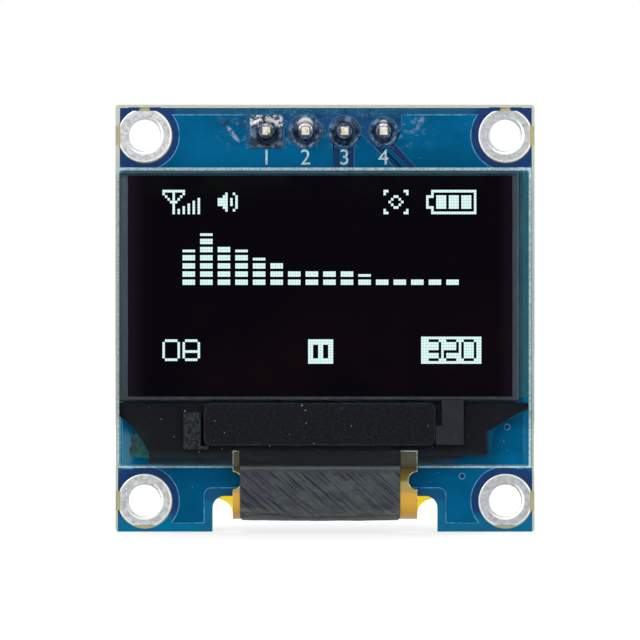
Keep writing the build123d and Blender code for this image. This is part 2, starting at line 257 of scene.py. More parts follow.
class Nodes:
    """A shader's node tree while it is made."""

    def __init__(self, tree):
        self.tree = tree

    def put(self, socket, value):
        """Links a socket to a level or another socket, or sets its plain value."""
        value = getattr(value, "socket", value)
        if isinstance(value, bpy.types.NodeSocket):
            self.tree.links.new(value, socket)
        elif socket.type == "RGBA":
            socket.default_value = (*tint(value), 1)
        else:
            socket.default_value = value

    def add(self, kind, values=None, **settings):
        node = self.tree.nodes.new("ShaderNode" + kind)
        for key, value in settings.items():
            setattr(node, key, value)
        for key, value in (values or {}).items():
            self.put(node.inputs[key], value)
        return node

    def level(self, kind, values=None, out=0, **settings):
        """One output of a new node."""
        return Level(self, self.add(kind, values, **settings).outputs[out])

    def maths(self, operation, *values):
        return self.level("Math", dict(enumerate(values)), operation=operation)

    def seen(self):
        """1 for camera, glossy and transmission rays, and 0 for the rest."""
        path = self.add("LightPath").outputs
        kinds = ("Camera", "Glossy", "Transmission")
        camera, glossy, through = (Level(self, path[f"Is {kind} Ray"]) for kind in kinds)
        return camera | glossy | through


class Finish(Nodes):
    """A material while it is made. Places in it are in millimetres. gloss is how strongly it mirrors, and
    sheen is the colour of that straight on."""

    def __init__(self, name, base="#FFFFFF", roughness=0.5, gloss=0.5, sheen=(1, 1, 1), metallic=0.0, **more):
        self.material = bpy.data.materials.new(name)
        self.material.use_nodes = True
        super().__init__(self.material.node_tree)
        self.shader = self.tree.nodes["Principled BSDF"]
        self.relief = None
        values = {"Roughness": roughness, "Specular IOR Level": gloss, "Specular Tint": sheen}
        for key, value in {**values, "Metallic": metallic, **more}.items():
            self.set(key, value)
        self.lay(base)

    def set(self, key, value):
        self.put(self.shader.inputs[key], value)

    def lay(self, shade, amount=None):
        """Lays a colour over the base colour, wholly or by an amount."""
        self.base = shade if amount is None else self.mix(amount, self.base, shade)
        self.set("Base Color", self.base)

    @cached_property
    def place(self):
        coordinates = self.add("TexCoord").outputs["Object"]
        return self.level("VectorMath", {0: coordinates, "Scale": 1 / MM}, operation="SCALE")

    @cached_property
    def axes(self):
        """X, Y and Z of the place."""
        return [Level(self, socket) for socket in self.add("SeparateXYZ", {"Vector": self.place}).outputs]

    @cached_property
    def facing(self):
        """-1 where the surface faces the front and 1 where it faces the back."""
        return self.level("SeparateXYZ", {"Vector": self.add("NewGeometry").outputs["Normal"]}, "Y")

    def distance(self, x, z):
        """How far the place is from a point, in the plane of the board."""
        return (self.axes[0] - x).hypot(self.axes[2] - z)

    def from_hole(self):
        """How far the place is from the nearest mounting hole's axis."""
        return (abs(self.axes[0]) - HOLE_X).hypot(abs(self.axes[2]) - HOLE_Z)

    def spot(self, x, z, along, over, turn):
        """1 in the middle of a turned ellipse and 0 outside it. Half sizes are in millimetres."""
        dx, dz = self.axes[0] - x, self.axes[2] - z
        c, s = math.cos(math.radians(turn)), math.sin(math.radians(turn))
        run = dx * (c / along) + dz * (s / along)
        side = dx * (-s / over) + dz * (c / over)
        return run.hypot(side).fall(0.5, 1.0)

    def noise(self, scale, detail=3.0, roughness=0.55, stretch=(1, 1, 1), turn=0.0):
        mapping = self.level("Mapping", {"Vector": self.place, "Scale": stretch, "Rotation": (0, turn, 0)})
        values = {"Vector": mapping, "Scale": scale, "Detail": detail, "Roughness": roughness}
        return self.level("TexNoise", values)

    def wave(self, direction, scale, distortion=0.0):
        values = {"Vector": self.place, "Scale": scale, "Distortion": distortion}
        return self.level("TexWave", values, 1, bands_direction=direction)

    def ramp(self, value, stops):
        """A colour that follows a value, with the stops in the value's own units."""
        low, high = min(stops), max(stops)
        spread = self.level("MapRange", {"Value": value, "From Min": low, "From Max": high})
        node = self.add("ValToRGB", {0: spread})
        elements = node.color_ramp.elements
        while len(elements) < len(stops):
            elements.new(0.5)
        for element, (at, shade) in zip(elements, stops.items()):
            element.position = (at - low) / (high - low)
            element.color = (*tint(shade), 1)
        return node.outputs["Color"]

    def mix(self, amount, under, over):
        return self.level("Mix", {0: amount, 6: under, 7: over}, 2, data_type="RGBA")

    def bump(self, height, millimetres, strength=1.0):
        """Fine relief, over any that is there already."""
        values = {"Height": height, "Distance": millimetres * MM, "Strength": strength}
        if self.relief:
            values["Normal"] = self.relief
        self.relief = self.level("Bump", values)
        self.set("Normal", self.relief)

    def rough(self, value, low, high):
        """Roughness that follows a value between 0 and 1."""
        self.set("Roughness", self.level("MapRange", {"Value": value, "To Min": low, "To Max": high}))


def disc(x, z, radius, steps=56):
    """A circle's points."""
    turns = [2 * math.pi * i / steps for i in range(steps)]
    return [(x + radius * math.cos(a), z + radius * math.sin(a)) for a in turns]


def arc(x, z, radius, start, end, steps=8):
    """Points on an arc, with its ends in degrees."""
    angles = [math.radians(start + (end - start) * i / steps) for i in range(steps + 1)]
    return [(x + radius * math.cos(a), z + radius * math.sin(a)) for a in angles]


def around(x, z, half_x, half_z):
    """Left, bottom, right and top of a rectangle round a point."""
    return x - half_x, z - half_z, x + half_x, z + half_z


def grown(box, by):
    left, bottom, right, top = box
    return left - by, bottom - by, right + by, top + by


def oblong(left, bottom, right, top):
    return [(left, bottom), (right, bottom), (right, top), (left, top)]


def rounded(left, bottom, right, top, radius):
    """A rectangle with round corners."""
    points = []
    for x, z, start in ((right, bottom, -90), (right, top, 0), (left, top, 90), (left, bottom, 180)):
        cx = x - radius if x == right else x + radius
        cz = z - radius if z == top else z + radius
        points += arc(cx, cz, radius, start, start + 90, 6)
    return points


def strips(routes, width):
    """The outlines that make lines of some width with round joints."""
    outlines = []
    for route in routes:
        outlines += [disc(*point, width / 2, 14) for point in route]
        for (x0, z0), (x1, z1) in zip(route, route[1:]):
            run = math.hypot(x1 - x0, z1 - z0)
            nx, nz = -(z1 - z0) / run * width / 2, (x1 - x0) / run * width / 2
            outlines.append([(x0 - nx, z0 - nz), (x1 - nx, z1 - nz), (x1 + nx, z1 + nz), (x0 + nx, z0 + nz)])
    return outlines


def triangles(add, cut=(), restore=()):
    """Flat triangles inside any outline of add and none of cut, or inside any outline of restore."""
    points, faces = [], []
    for outline in (*add, *cut, *restore):
        faces.append(list(range(len(points), len(points) + len(outline))))
        points += [Vector(p) for p in outline]
    found = delaunay_2d_cdt(points, [], faces, 1, 1e-5)
    kept = []
    for face, sources in zip(found[2], found[5]):
        kinds = {0 if s < len(add) else 1 if s < len(add) + len(cut) else 2 for s in sources}
        if 2 in kinds or (0 in kinds and 1 not in kinds):
            kept.append(face)
    return found[0], kept


def point(bm, x, y, z):
    """A new point of a mesh, from its place in millimetres."""
    return bm.verts.new((x * MM, y * MM, z * MM))


def skin(bm, rows, closed=False):
    """Faces between rows of points. Closed rows join their ends."""
    for near, far in zip(rows, rows[1:]):
        for k in range(len(near) if closed else len(near) - 1):
            m = (k + 1) % len(near)
            bm.faces.new([near[k], near[m], far[m], far[k]])


def close_mesh(bm, smooth=False):
    """A mesh from a bmesh, with its faces outwards."""
    bmesh.ops.recalc_face_normals(bm, faces=bm.faces)
    for face in bm.faces:
        face.smooth = smooth
    mesh = bpy.data.meshes.new("mesh")
    bm.to_mesh(mesh)
    bm.free()
    return mesh


def layer(side, surface, height, add, cut=(), restore=(), slope=0.0):
    """A thin layer on the front or the back, with its own outline. A slope round its edges gets the
    second finish. surface is where the layer starts, and height how far it stands out."""
    points, faces = triangles(add, cut, restore)
    used = sorted({i for face in faces for i in face})
    bm = bmesh.new()
    levels = (surface + side * height, surface - side * ROOT)
    top, root = ({i: point(bm, points[i].x, y, points[i].y) for i in used} for y in levels)
    edges, caps = {}, []
    for face in faces:
        if side == BACK:
            face = face[::-1]
        caps.append(bm.faces.new([top[i] for i in face]))
        bm.faces.new([root[i] for i in face[::-1]])
        for a, b in zip(face, [*face[1:], face[0]]):
            edges[a, b] = True
    for a, b in edges:
        if (b, a) not in edges:
            bm.faces.new([top[b], top[a], root[a], root[b]])
    bm.normal_update()
    if slope:
        ring = bmesh.ops.inset_region(bm, faces=caps, thickness=slope * MM, use_even_offset=True)["faces"]
        inner = {v for face in caps for v in face.verts}
        for face in ring:
            face.material_index = 1
            for vertex in set(face.verts) - inner:
                vertex.co.y = (surface + side * height * 0.35) * MM
    return close_mesh(bm)


def lathe(profile, x, z, steps, reach=None, lift=None):
    """A closed ring turned about an axis along Y. profile is a loop of radius and Y. reach changes a radius
    and lift a Y, each from the angle, the radius and Y."""
    bm = bmesh.new()
    rows = []
    for i in range(steps):
        angle = 2 * math.pi * i / steps
        row = []
        for radius, y in profile:
            r = reach(angle, radius, y) if reach else radius
            raised = lift(angle, r, y) if lift else y
            row.append(point(bm, x + r * math.cos(angle), raised, z + r * math.sin(angle)))
        rows.append(row)
    skin(bm, rows + rows[:1], closed=True)
    return close_mesh(bm, smooth=True)


def block_mesh(width, depth, height, bevel=0.0):
    """A box centred on its origin, in millimetres."""
    bm = bmesh.new()
    bmesh.ops.create_cube(bm, size=1.0, matrix=Matrix.Diagonal((width * MM, depth * MM, height * MM, 1)))
    if bevel:
        bmesh.ops.bevel(bm, geom=bm.edges, offset=bevel * MM, segments=2, profile=0.6, affect="EDGES")
    return close_mesh(bm)


def repeat_tree():
    """Geometry nodes that put a shape on each point, turned and sized by the points' own values."""
    name = "repeat_on_points"
    if name in bpy.data.node_groups:
        return bpy.data.node_groups[name]
    tree = bpy.data.node_groups.new(name, "GeometryNodeTree")
    for title, kind in (("Points", "Geometry"), ("Shape", "Object"), ("Finish", "Material")):
        tree.interface.new_socket(title, in_out="INPUT", socket_type="NodeSocket" + kind)
    tree.interface.new_socket("Pieces", in_out="OUTPUT", socket_type="NodeSocketGeometry")

    def add(kind, sources=None):
        node = tree.nodes.new(kind)
        for key, source in (sources or {}).items():
            tree.links.new(source, node.inputs[key])
        return node.outputs

    def point_value(title):
        node = tree.nodes.new("GeometryNodeInputNamedAttribute")
        node.data_type = "FLOAT_VECTOR"
        node.inputs["Name"].default_value = title
        return node.outputs["Attribute"]

    given = add("NodeGroupInput")
    shape = add("GeometryNodeObjectInfo", {"Object": given["Shape"]})["Geometry"]
    turn = add("FunctionNodeEulerToRotation", {0: point_value("turn")})[0]
    sources = {"Points": given["Points"], "Instance": shape, "Rotation": turn, "Scale": point_value("size")}
    placed = add("GeometryNodeInstanceOnPoints", sources)[0]
    real = add("GeometryNodeRealizeInstances", {0: placed})[0]
    painted = add("GeometryNodeSetMaterial", {"Geometry": real, "Material": given["Finish"]})[0]
    add("NodeGroupOutput", {0: painted})
    return tree


def repeats(shape, places, finish):
    """The mesh of a shape put at many places. Each place is x, y, z, with a turn and a size."""
    points = bpy.data.meshes.new("points")
    points.from_pydata([[c * MM for c in place[0]] for place in places], [], [])
    for index, name in ((1, "turn"), (2, "size")):
        values = points.attributes.new(name, "FLOAT_VECTOR", "POINT")
        values.data.foreach_set("vector", [c for place in places for c in place[index]])
    pattern, carrier = bpy.data.objects.new("pattern", shape), bpy.data.objects.new("carrier", points)
    for obj in (pattern, carrier):
        bpy.context.scene.collection.objects.link(obj)
    modifier = carrier.modifiers.new("repeat", "NODES")
    modifier.node_group = repeat_tree()
    sockets = {s.name: s.identifier for s in modifier.node_group.interface.items_tree if s.in_out == "INPUT"}
    modifier[sockets["Shape"]] = pattern
    modifier[sockets["Finish"]] = finish
    mesh = settled(carrier)
    bpy.data.objects.remove(pattern)
    return mesh


def settled(obj):
    """An object's final mesh. The object itself goes."""
    mesh = bpy.data.meshes.new_from_object(obj.evaluated_get(bpy.context.evaluated_depsgraph_get()))
    bpy.data.objects.remove(obj)
    return mesh


def numbers(side, surface, height, size, z):
    """The pins' printed numerals as one mesh, with the Z of their middles."""
    bm = bmesh.new()
    for number, x in enumerate(PIN_X, 1):
        curve = bpy.data.curves.new("numeral", "FONT")
        curve.body = str(number)
        curve.size = size * MM / NUMERAL_SHARE
        curve.extrude = height * MM / 2
        curve.align_x = curve.align_y = "CENTER"
        obj = bpy.data.objects.new("numeral", curve)
        bpy.context.scene.collection.objects.link(obj)
        mesh = settled(obj)
        turn = Matrix.Rotation(math.pi / 2, 4, "X")
        if side == BACK:
            turn = Matrix.Rotation(math.pi, 4, "Z") @ turn
        middle = Vector((x, surface + side * height / 2, z)) * MM
        mesh.transform(Matrix.Translation(middle) @ turn)
        bm.from_mesh(mesh)
        bpy.data.meshes.remove(mesh)
    bmesh.ops.remove_doubles(bm, verts=bm.verts, dist=1e-7)
    return close_mesh(bm)


def piece(name, mesh, slot, *finishes, replaced=()):
    """A finished mesh as a piece of the module."""
    obj = bpy.data.objects.new(name, mesh)
    bpy.context.scene.collection.objects.link(obj)
    mesh.name = name
    for finish in finishes:
        mesh.materials.append(finish)
    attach(obj, "root")
    if replaced:
        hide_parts(*replaced)
    return obj


def dress(finish, *nodes):
    """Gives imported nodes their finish."""
    for node in nodes:
        obj = frame["nodes"][node]
        if not obj.material_slots:
            obj.data.materials.append(finish)
        for slot in obj.material_slots:
            slot.material = finish


# Finishes of the board


def laminate_finish(look):
    """Bare glass fibre: a woven face, a paler routed rim and thin plies on the sides."""
    finish = Finish("bare_laminate", roughness=0.62, gloss=0.3)
    x, _, z = finish.axes
    beside_pad = abs(abs(z) - HOLE_Z).fall(0.6, 0.66) * abs(x).step(13.2, 13.3)
    near_hole = beside_pad | finish.from_hole().fall(1.83, 1.87)
    face = finish.mix(finish.noise(1.3, 4), look.laminate, scaled(look.laminate, 0.72))
    rim = finish.mix(finish.noise(2.4, 5), look.laminate_rim, "#B9BBA6")
    plies = finish.mix(finish.wave("Y", 2.4, 0.6), "#C9CBB4", "#A3A585")
    flat = abs(finish.facing).step(0.6, 0.9)
    finish.lay(finish.mix(flat, plies, finish.mix(near_hole, rim, face)))
    finish.bump(finish.wave("X", 1.1) * finish.wave("Z", 1.1), 0.012, 0.6)
    finish.bump(finish.noise(9, 4), 0.006, 0.7)
    return finish.material


def border_finish(look):
    """Mask on laminate: teal along the rim, and navy in the gaps round pads and pins."""
    finish = Finish("mask_on_laminate", look.border, roughness=0.3, gloss=0.25, sheen=MASK_SHEEN)
    x, y, z = finish.axes
    front = y.fall(0.2, 0.6)
    patch = finish.noise(0.55)
    finish.lay("#1D5F86", patch.step(0.35, 0.7))
    finish.lay(finish.mix(patch, "#2B5E80", "#143F63"), z.step(12.6, 13.3))
    ring = finish.from_hole().fall(2.35, 2.75) * (1.0 - z.fall(-13.35, -12.4))
    across = abs(x).fall(5.2, 6.4)
    pins = across * z.step(10.2, 11.0) * z.fall(12.9, 13.5)
    notch = z.step(-12.3, -11.5) * z.fall(-10.4, -10.0) * abs(x).fall(8.6, 9.2)
    navy = finish.mix(finish.noise(1.9), look.clearance, "#23406F")
    finish.lay(navy, ring | pins * 0.75 | notch * 0.6)
    traces = x.step(0.3, 0.5) * x.fall(7.4, 7.6) * z.step(8.1, 8.3) * front * z.fall(11.2, 11.8)
    finish.lay("#1D2350", traces * 0.85)
    curl = abs(finish.noise(0.9, 4, 0.6) - 0.5).fall(0.004, 0.014)
    finish.lay("#5F8BAA", curl * across * z.step(10.6, 11.4) * front * 0.4)
    stain = finish.noise(1.2, 5).step(0.5, 0.62)
    finish.lay("#14263E", stain * across * z.step(10.8, 11.6) * 0.5)
    finish.bump(finish.noise(3.5), 0.01, 0.4)
    return finish.material


def copper_finish(look):
    """Mask on copper, with slow changes of depth and the flux streaks round the header."""
    finish = Finish("mask_on_copper", look.mask, gloss=0.3, sheen=MASK_SHEEN)
    x, y, z = finish.axes
    front = y.fall(0.2, 0.6)
    finish.lay(look.mask_deep, finish.noise(0.16, stretch=(1, 1, 1.6)).step(0.32, 0.68))
    # Darker towards the bottom.
    finish.lay(look.mask_deep, z.fall(-11.5, -7.5) * 0.2)
    grain = finish.noise(7.0, 4)
    finish.lay("#1B7BA6", grain * 0.16)
    near_header = z.step(10.9, 11.6) * abs(x).fall(5.2, 7.6)
    swirl = finish.noise(1.5, 6, 0.7, (1, 1, 1.7), 0.7)
    finish.lay("#93A9BE", swirl.step(0.545, 0.6) * swirl.fall(0.6, 0.63) * near_header * front * 0.4)
    stain = finish.noise(1.1, 5).step(0.56, 0.68) * near_header * front
    finish.lay("#27394F", stain * 0.45)
    ragged = finish.noise(2.6, 6, 0.7, turn=0.9).step(0.4, 0.6)
    smear = finish.spot(-6.0, 12.0, 0.8, 0.2, -52) | finish.spot(6.2, 12.7, 0.7, 0.22, 60) * 0.5
    finish.lay("#A9AFC8", smear * ragged * front * 0.8)
    blob = finish.spot(-6.55, 12.75, 0.5, 0.34, 20) | finish.spot(-5.35, 12.8, 0.5, 0.3, 70)
    finish.lay("#2A2A38", blob * ragged * front * 0.85)
    finish.lay("#5A92A8", finish.spot(-13.05, -8.5, 0.8, 1.5, 0) * front * 0.6)
    finish.lay("#7FB7CF", finish.noise(5.5, 2).step(0.735, 0.76) * 0.6)
    finish.rough(stain * 0.8 | grain, 0.2, 0.42)
    finish.bump(finish.noise(2.6), 0.012, 0.35)
    finish.bump(grain, 0.004, 0.5)
    return finish.material


def edge_finish(look):
    """Painted highlight on the mask's slope at a copper edge, in patches, duller by the header, traces and
    panel.
    """
    finish = Finish("mask_edge_line", look.edge_line, roughness=0.3, gloss=0.3, sheen=MASK_SHEEN)
    x, y, z = finish.axes
    highlight_gaps = finish.noise(2.2, 4)
    finish.lay(look.mask, highlight_gaps.step(0.35, 0.75))
    header = z.step(10.9, 11.2) * abs(x).fall(5.2, 5.6)
    traces = x.step(0.3, 0.5) * x.fall(7.2, 7.5) * z.step(8.1, 8.3) * z.fall(12.9, 13.1)
    panel = x.step(12.4, 12.6) * z.fall(9.3, 9.5) * z.step(-9.6, -9.4)
    finish.lay("#23476B", (header | traces | panel) * y.fall(0.2, 0.6) * 0.7)
    finish.bump(highlight_gaps, 0.006, 0.5)
    return finish.material


def ink_finish(look):
    finish = Finish("printed_ink", scaled(look.ink, 0.62), roughness=0.55, gloss=0.3)
    grain = finish.noise(6.0, 5, 0.65)
    finish.lay(look.ink, grain.step(0.42, 0.62))
    finish.lay("#7D99B4", finish.noise(3.1, 6, 0.7).step(0.66, 0.72) * 0.75)
    finish.bump(grain, 0.008, 0.8)
    return finish.material


# Finishes of the metal


def tin_finish(look):
    """Hot tinned pads: mottled, with painted highlights on the meniscus along the rim and round the bore, and
    painted shade over the pads on the right.
    """
    finish = Finish("tinned_pads", look.tin_shade, metallic=1.0)
    x, _, z = finish.axes
    mottle = finish.noise(3.4, 6, 0.7)
    finish.lay(look.tin, mottle.step(0.36, 0.6))
    finish.lay("#76797D", finish.noise(4.6, 2).step(0.66, 0.72) * 0.7)
    # Painted shade: the pads on the right are darker.
    finish.lay("#8A8E93", x.step(0, 5) * 0.3)
    reach = finish.from_hole()
    shifted = (abs(x + 0.12) - HOLE_X).hypot(abs(z - 0.12) - HOLE_Z)
    # Painted highlights: a bright rim at the pad's edge and an off-centre crescent round the bore.
    finish.lay("#F4F4F0", reach.step(1.63, 1.7) * 0.75 | shifted.step(1.16, 1.22) * reach.fall(1.2, 1.28))
    finish.rough(mottle, 0.26, 0.44)
    finish.bump(mottle, 0.012, 0.5)
    return finish.material


def joint_finish(look):
    """Solder at the header: dark, partly from flux and partly as a painted dark reflection of its
    surroundings, silver where the flux has run off at the first pin, and with painted highlights above the
    second and fourth.
    """
    finish = Finish("header_solder", look.solder_shade, metallic=0.85)
    x, _, z = finish.axes
    mottle = finish.noise(1.7, 6, 0.68)
    finish.lay("#6B809B", mottle.step(0.46, 0.62))
    at_first = x.fall(PIN_X[0] + 0.9, PIN_X[0] + 1.2)
    worn = finish.noise(3.4, 5, 0.7).step(0.44, 0.56)
    first = at_first * z.step(PIN_Z + 0.2, PIN_Z + 0.45) * worn
    # Painted highlights: bright spots above the second and fourth pins.
    second = finish.distance(PIN_X[1], PIN_Z + 0.42).fall(0.4, 0.58)
    fourth = finish.distance(PIN_X[3], PIN_Z + 0.48).fall(0.2, 0.34)
    finish.lay("#D9D8DB", first * 0.8 | second | fourth)
    finish.lay("#33281F", at_first * z.fall(PIN_Z - 0.5, PIN_Z + 0.2) * 0.35)
    finish.rough(mottle, 0.16, 0.4)
    finish.bump(finish.noise(1.6), 0.05, 0.5)
    return finish.material


def solder_finish(look):
    finish = Finish("bright_solder", look.solder, metallic=1.0)
    mottle = finish.noise(2.0, 5)
    finish.lay("#6E7073", mottle.step(0.35, 0.7))
    finish.rough(mottle, 0.18, 0.38)
    finish.bump(mottle, 0.03, 0.5)
    return finish.material


def pin_finish(look):
    """Plated square wire, scratched along its length, with sheared and spotted ends."""
    finish = Finish("plated_pins", look.pin, metallic=0.9)
    drawn = finish.noise(5.0, 4, stretch=(1, 0.08, 1))
    finish.lay("#B9B08F", drawn.step(0.3, 0.75))
    finish.lay("#4A3C33", finish.noise(3.3).step(0.6, 0.68) * finish.axes[1].fall(-1.66, -1.6) * 0.8)
    finish.rough(drawn, 0.2, 0.4)
    finish.bump(drawn, 0.01, 0.6)
    return finish.material


def flex_copper_finish(look):
    finish = Finish("flex_copper", look.copper, roughness=0.34, gloss=0.4, metallic=0.35)
    grain = finish.noise(2.5, 4)
    finish.lay(scaled(look.copper, 0.7), grain)
    finish.bump(grain, 0.01, 0.4)
    return finish.material


# Finishes of the panel


def glass_finish():
    """Clear sheet glass. The lamps shine through it, and it mirrors at low angles only."""
    body, index = tint("#EBF1F0"), 1.45
    finish = Finish("panel_glass", body, roughness=0.0, sheen=(0, 0, 0), IOR=index)
    finish.set("Transmission Weight", 1.0)
    once = [c**0.5 for c in body]
    through = finish.level("BsdfRefraction", {"Color": once, "Roughness": 0.0, "IOR": index})
    clear = finish.level("BsdfTransparent", {"Color": body})
    low_angle = finish.level("Fresnel", {"IOR": index}).step(0.1, 0.4)
    glass = finish.level("MixShader", {0: low_angle, 1: through, 2: finish.shader.outputs[0]})
    shadow = finish.add("LightPath").outputs["Is Shadow Ray"]
    surface = finish.level("MixShader", {0: shadow, 1: glass, 2: clear})
    finish.put(finish.tree.nodes["Material Output"].inputs["Surface"], surface)
    return finish.material


def cap_finish():
    """Smoked rear glass with a ground edge that catches the light."""
    finish = Finish("cap_glass", "#1C232B", gloss=0.4, sheen=DARK_SHEEN)
    x, _, z = finish.axes
    from_side = (x - cap_low.x) & (cap_high.x - x)
    from_end = (z - cap_low.z) & (cap_high.z - z)
    rim = (from_side & from_end).fall(0.06, 0.11)
    ground = finish.mix(finish.noise(1.6, 4), "#7B7F84", "#4A4E55")
    finish.lay(finish.mix(z.fall(cap_low.z + 0.1, cap_low.z + 0.2), ground, "#34373C"), rim)
    finish.rough(rim, 0.1, 0.5)
    finish.bump(finish.noise(5, 4), 0.006, 0.5)
    return finish.material


def seal_finish(look):
    """The bead between the glasses, blue-grey at the left and darker to the right."""
    finish = Finish("panel_seal", roughness=0.4, gloss=0.3, sheen=DARK_SHEEN)
    x, _, z = finish.axes
    finish.lay(finish.ramp(x, {-13.0: look.seal, -11.5: "#7A7A84", 10.0: "#6E6A78", 13.0: "#57586A"}))
    finish.lay(finish.ramp(z, {-5.4: "#505057", -4.0: "#535E69", 9.3: "#646E79"}), x.fall(-12.6, -11.9))
    finish.lay("#336478", z.step(film_high.z - 0.2, film_high.z))
    finish.lay("#23262C", finish.noise(1.4, 4) * 0.4)
    finish.bump(finish.noise(3.0), 0.008, 0.4)
    return finish.material


def film_finish(look):
    """The polarizer: black, with a trace of wine red low down, green high up and violet at the sides."""
    finish = Finish("polarizer_film", look.film, sheen=(0.01, 0.01, 0.015))
    x, _, z = finish.axes
    finish.lay("#140A0B", z.fall(-3.5, 3.0) * finish.noise(0.14, 2).step(0.42, 0.66) * 0.6)
    finish.lay("#10140F", z.step(7.2, 9.2) * finish.noise(0.3).step(0.4, 0.7) * 0.5)
    finish.lay("#201B26", (x.fall(-12.8, -11.5) | x.step(11.1, 12.1) * 0.7) * 0.5)
    finish.rough(finish.noise(0.8, 4), 0.1, 0.24)
    finish.bump(finish.noise(1.2, 2), 0.004, 0.25)
    return finish.material


def lit_finish(look):
    finish = Finish("lit_pixels", "#050505", roughness=0.4, gloss=0.0)
    finish.set("Emission Strength", 1.0)
    finish.set("Emission Color", finish.mix(finish.noise(0.9, 1) * 0.12, look.lit, "#C8F4EE"))
    return finish.material


def resin_finish(look):
    """Black resin, thin and bluish along its lower edge and olive brown at its left end. Its right end stops
    along a slanted line, past which the blue board shows."""
    finish = Finish("black_resin", look.resin, gloss=0.4, sheen=DARK_SHEEN)
    x, _, z = finish.axes
    ripple = finish.noise(0.8, 5, 0.6)
    finish.lay("#272C33", (z + ripple * 0.5).fall(-8.85, -8.15))
    slope, start = 0.6, -13.85
    inside = (z - x * slope - start + ripple * 0.2).step(0.05, 0.35)
    inside = inside | (x + ripple * 0.2).fall(10.5, 11.0) | finish.facing.step(-0.9, -0.6)
    finish.lay(finish.mix(inside, "#0A5078", finish.base))
    finish.lay("#2B2D22", (x + ripple * 0.9).fall(-11.6, -10.6) * z.fall(-7.6, -6.9) * 0.75)
    finish.lay("#0F0F11", ripple * 0.4)
    finish.rough(ripple, 0.2, 0.42)
    finish.bump(ripple, 0.04, 0.5)
    return finish.material


def resin_edge_finish(look):
    """The resin's thin lower edge, which lets more and more of the blue board through."""
    finish = Finish("resin_edge", roughness=0.35, gloss=0.3, sheen=DARK_SHEEN)
    x, _, z = finish.axes
    ripple = finish.noise(0.7, 4, stretch=(1, 1, 2.5))
    depth = z + ripple * 0.35
    finish.lay(finish.ramp(depth, {-9.5: "#344149", -9.1: "#20262B", -8.8: look.resin}))
    finish.lay("#0A5078", x.step(6.6, 9.2) * depth.fall(-9.5, -8.75))
    finish.bump(ripple, 0.02, 0.4)
    return finish.material


def haze_finish():
    """The thin olive tongue of resin at the ledge's left end."""
    finish = Finish("thin_resin", "#1F6255", roughness=0.4, gloss=0.1, Alpha=0.55)
    blotch = finish.noise(2.2, 5)
    finish.lay("#3F3222", blotch.step(0.4, 0.62))
    finish.bump(blotch, 0.02, 0.5)
    return finish.material


def shield_finish(name, shade, scale=5.0, depth=0.008, contrast=1.7):
    """Thin matte films on the ledge."""
    finish = Finish(name, shade, gloss=0.2, sheen=DARK_SHEEN)
    grain = finish.noise(scale, 5, 0.65)
    finish.lay(scaled(shade, contrast), grain.step(0.4, 0.66))
    finish.bump(grain, depth, 0.6)
    return finish.material


def plain_finish(name, shade, other, scale, roughness, depth, gloss=0.4, **more):
    """A moulded, fired or foamed surface: two close shades in a fine grain."""
    finish = Finish(name, shade, gloss=gloss, **more)
    grain = finish.noise(scale, 4, 0.6)
    finish.lay(other, grain.step(0.35, 0.68))
    finish.rough(grain, max(roughness - 0.08, 0), roughness + 0.08)
    finish.bump(grain, depth, 0.6)
    return finish.material


def resistor_finish():
    """White ceramic with a black glaze over its outer face."""
    finish = Finish("resistor_ceramic", "#D6D4CC")
    grain = finish.noise(5.0, 4)
    finish.lay("#BEBBB2", grain)
    finish.lay(finish.mix(grain.step(0.4, 0.7), "#0B0B0E", "#17181C"), finish.facing.step(0.5, 0.8))
    finish.rough(grain, 0.2, 0.4)
    finish.bump(grain, 0.008, 0.5)
    return finish.material


# Finishes of the flex cable

# Colours up the neck's front. The olive and brown bands are the glass's shadow painted on the film.
NECK_ZONES = {
    -12.9: "#DDAF78", -12.6: "#DCAA45", -12.2: "amber", -11.45: "amber", -11.25: "#B49B5E", -10.7: "#AB9A5C",
    -10.52: "#6B6224", -10.3: "#5F5A2C", -10.05: "#564A22", -9.8: "#524B2E", -9.66: "#3C3932",
    -9.55: "#424340", -8.6: "#444648",
}
# A painted highlight along the film's cut edge, brightest at the tops of the ears.
EDGE_ZONES = {
    -11.9: "#E2B964", -10.9: "#E6DCA6", -9.8: "#C9B98A", -9.6: "#A5A290", -8.75: "#B4B3A6", -8.6: "#DEDDD4",
}


def flex_finish(look):
    """Amber film. The neck is black behind the tape, olive where the glass's shadow is painted on it and
    amber to the bend, and the tail's front side is bright yellow where the notch shows it, with a painted
    glow there that stands in for light shining through the film from behind."""
    finish = Finish("flex_film", gloss=0.25, sheen=(0.15, 0.15, 0.18))
    x, y, z = finish.axes
    neck = finish.ramp(z, {at: look.amber if shade == "amber" else shade for at, shade in NECK_ZONES.items()})
    covered = x.step(-5.62, -5.52) * x.fall(4.88, 4.98) * z.step(-9.75, -9.62)
    streak = finish.noise(1.8, 5, stretch=(0.35, 1, 2.2), turn=0.75)
    neck = finish.mix(covered, neck, finish.mix(streak.step(0.52, 0.66), "#1F2023", "#292A2D"))
    pale = finish.ramp(z, {-12.9: "#FBF3B4", -12.3: "#F7E86A", -11.9: look.yellow})
    pale = finish.mix(x.step(-1, 1), pale, look.yellow)
    front = y.fall(-0.2, 0.4)
    finish.lay(finish.mix(finish.facing.step(-0.4, 0.2), pale, look.amber))
    finish.lay(neck, front)
    grain = finish.noise(1.6, 4)
    finish.lay(scaled(look.amber, 0.55), grain * 0.18 * (1.0 - covered * front))
    # Painted light: a glow on the tail's front where the notch shows it, for light through the film from
    # behind.
    bare = z.fall(NOTCH_TOP - 0.06, NOTCH_TOP) * y.step(0.9, 1.1) * finish.facing.fall(-0.8, -0.4)
    finish.set("Emission Color", pale)
    finish.set("Emission Strength", bare * 0.6)
    finish.rough(grain, 0.26, 0.44)
    finish.bump(grain, 0.01, 0.4)
    return finish.material


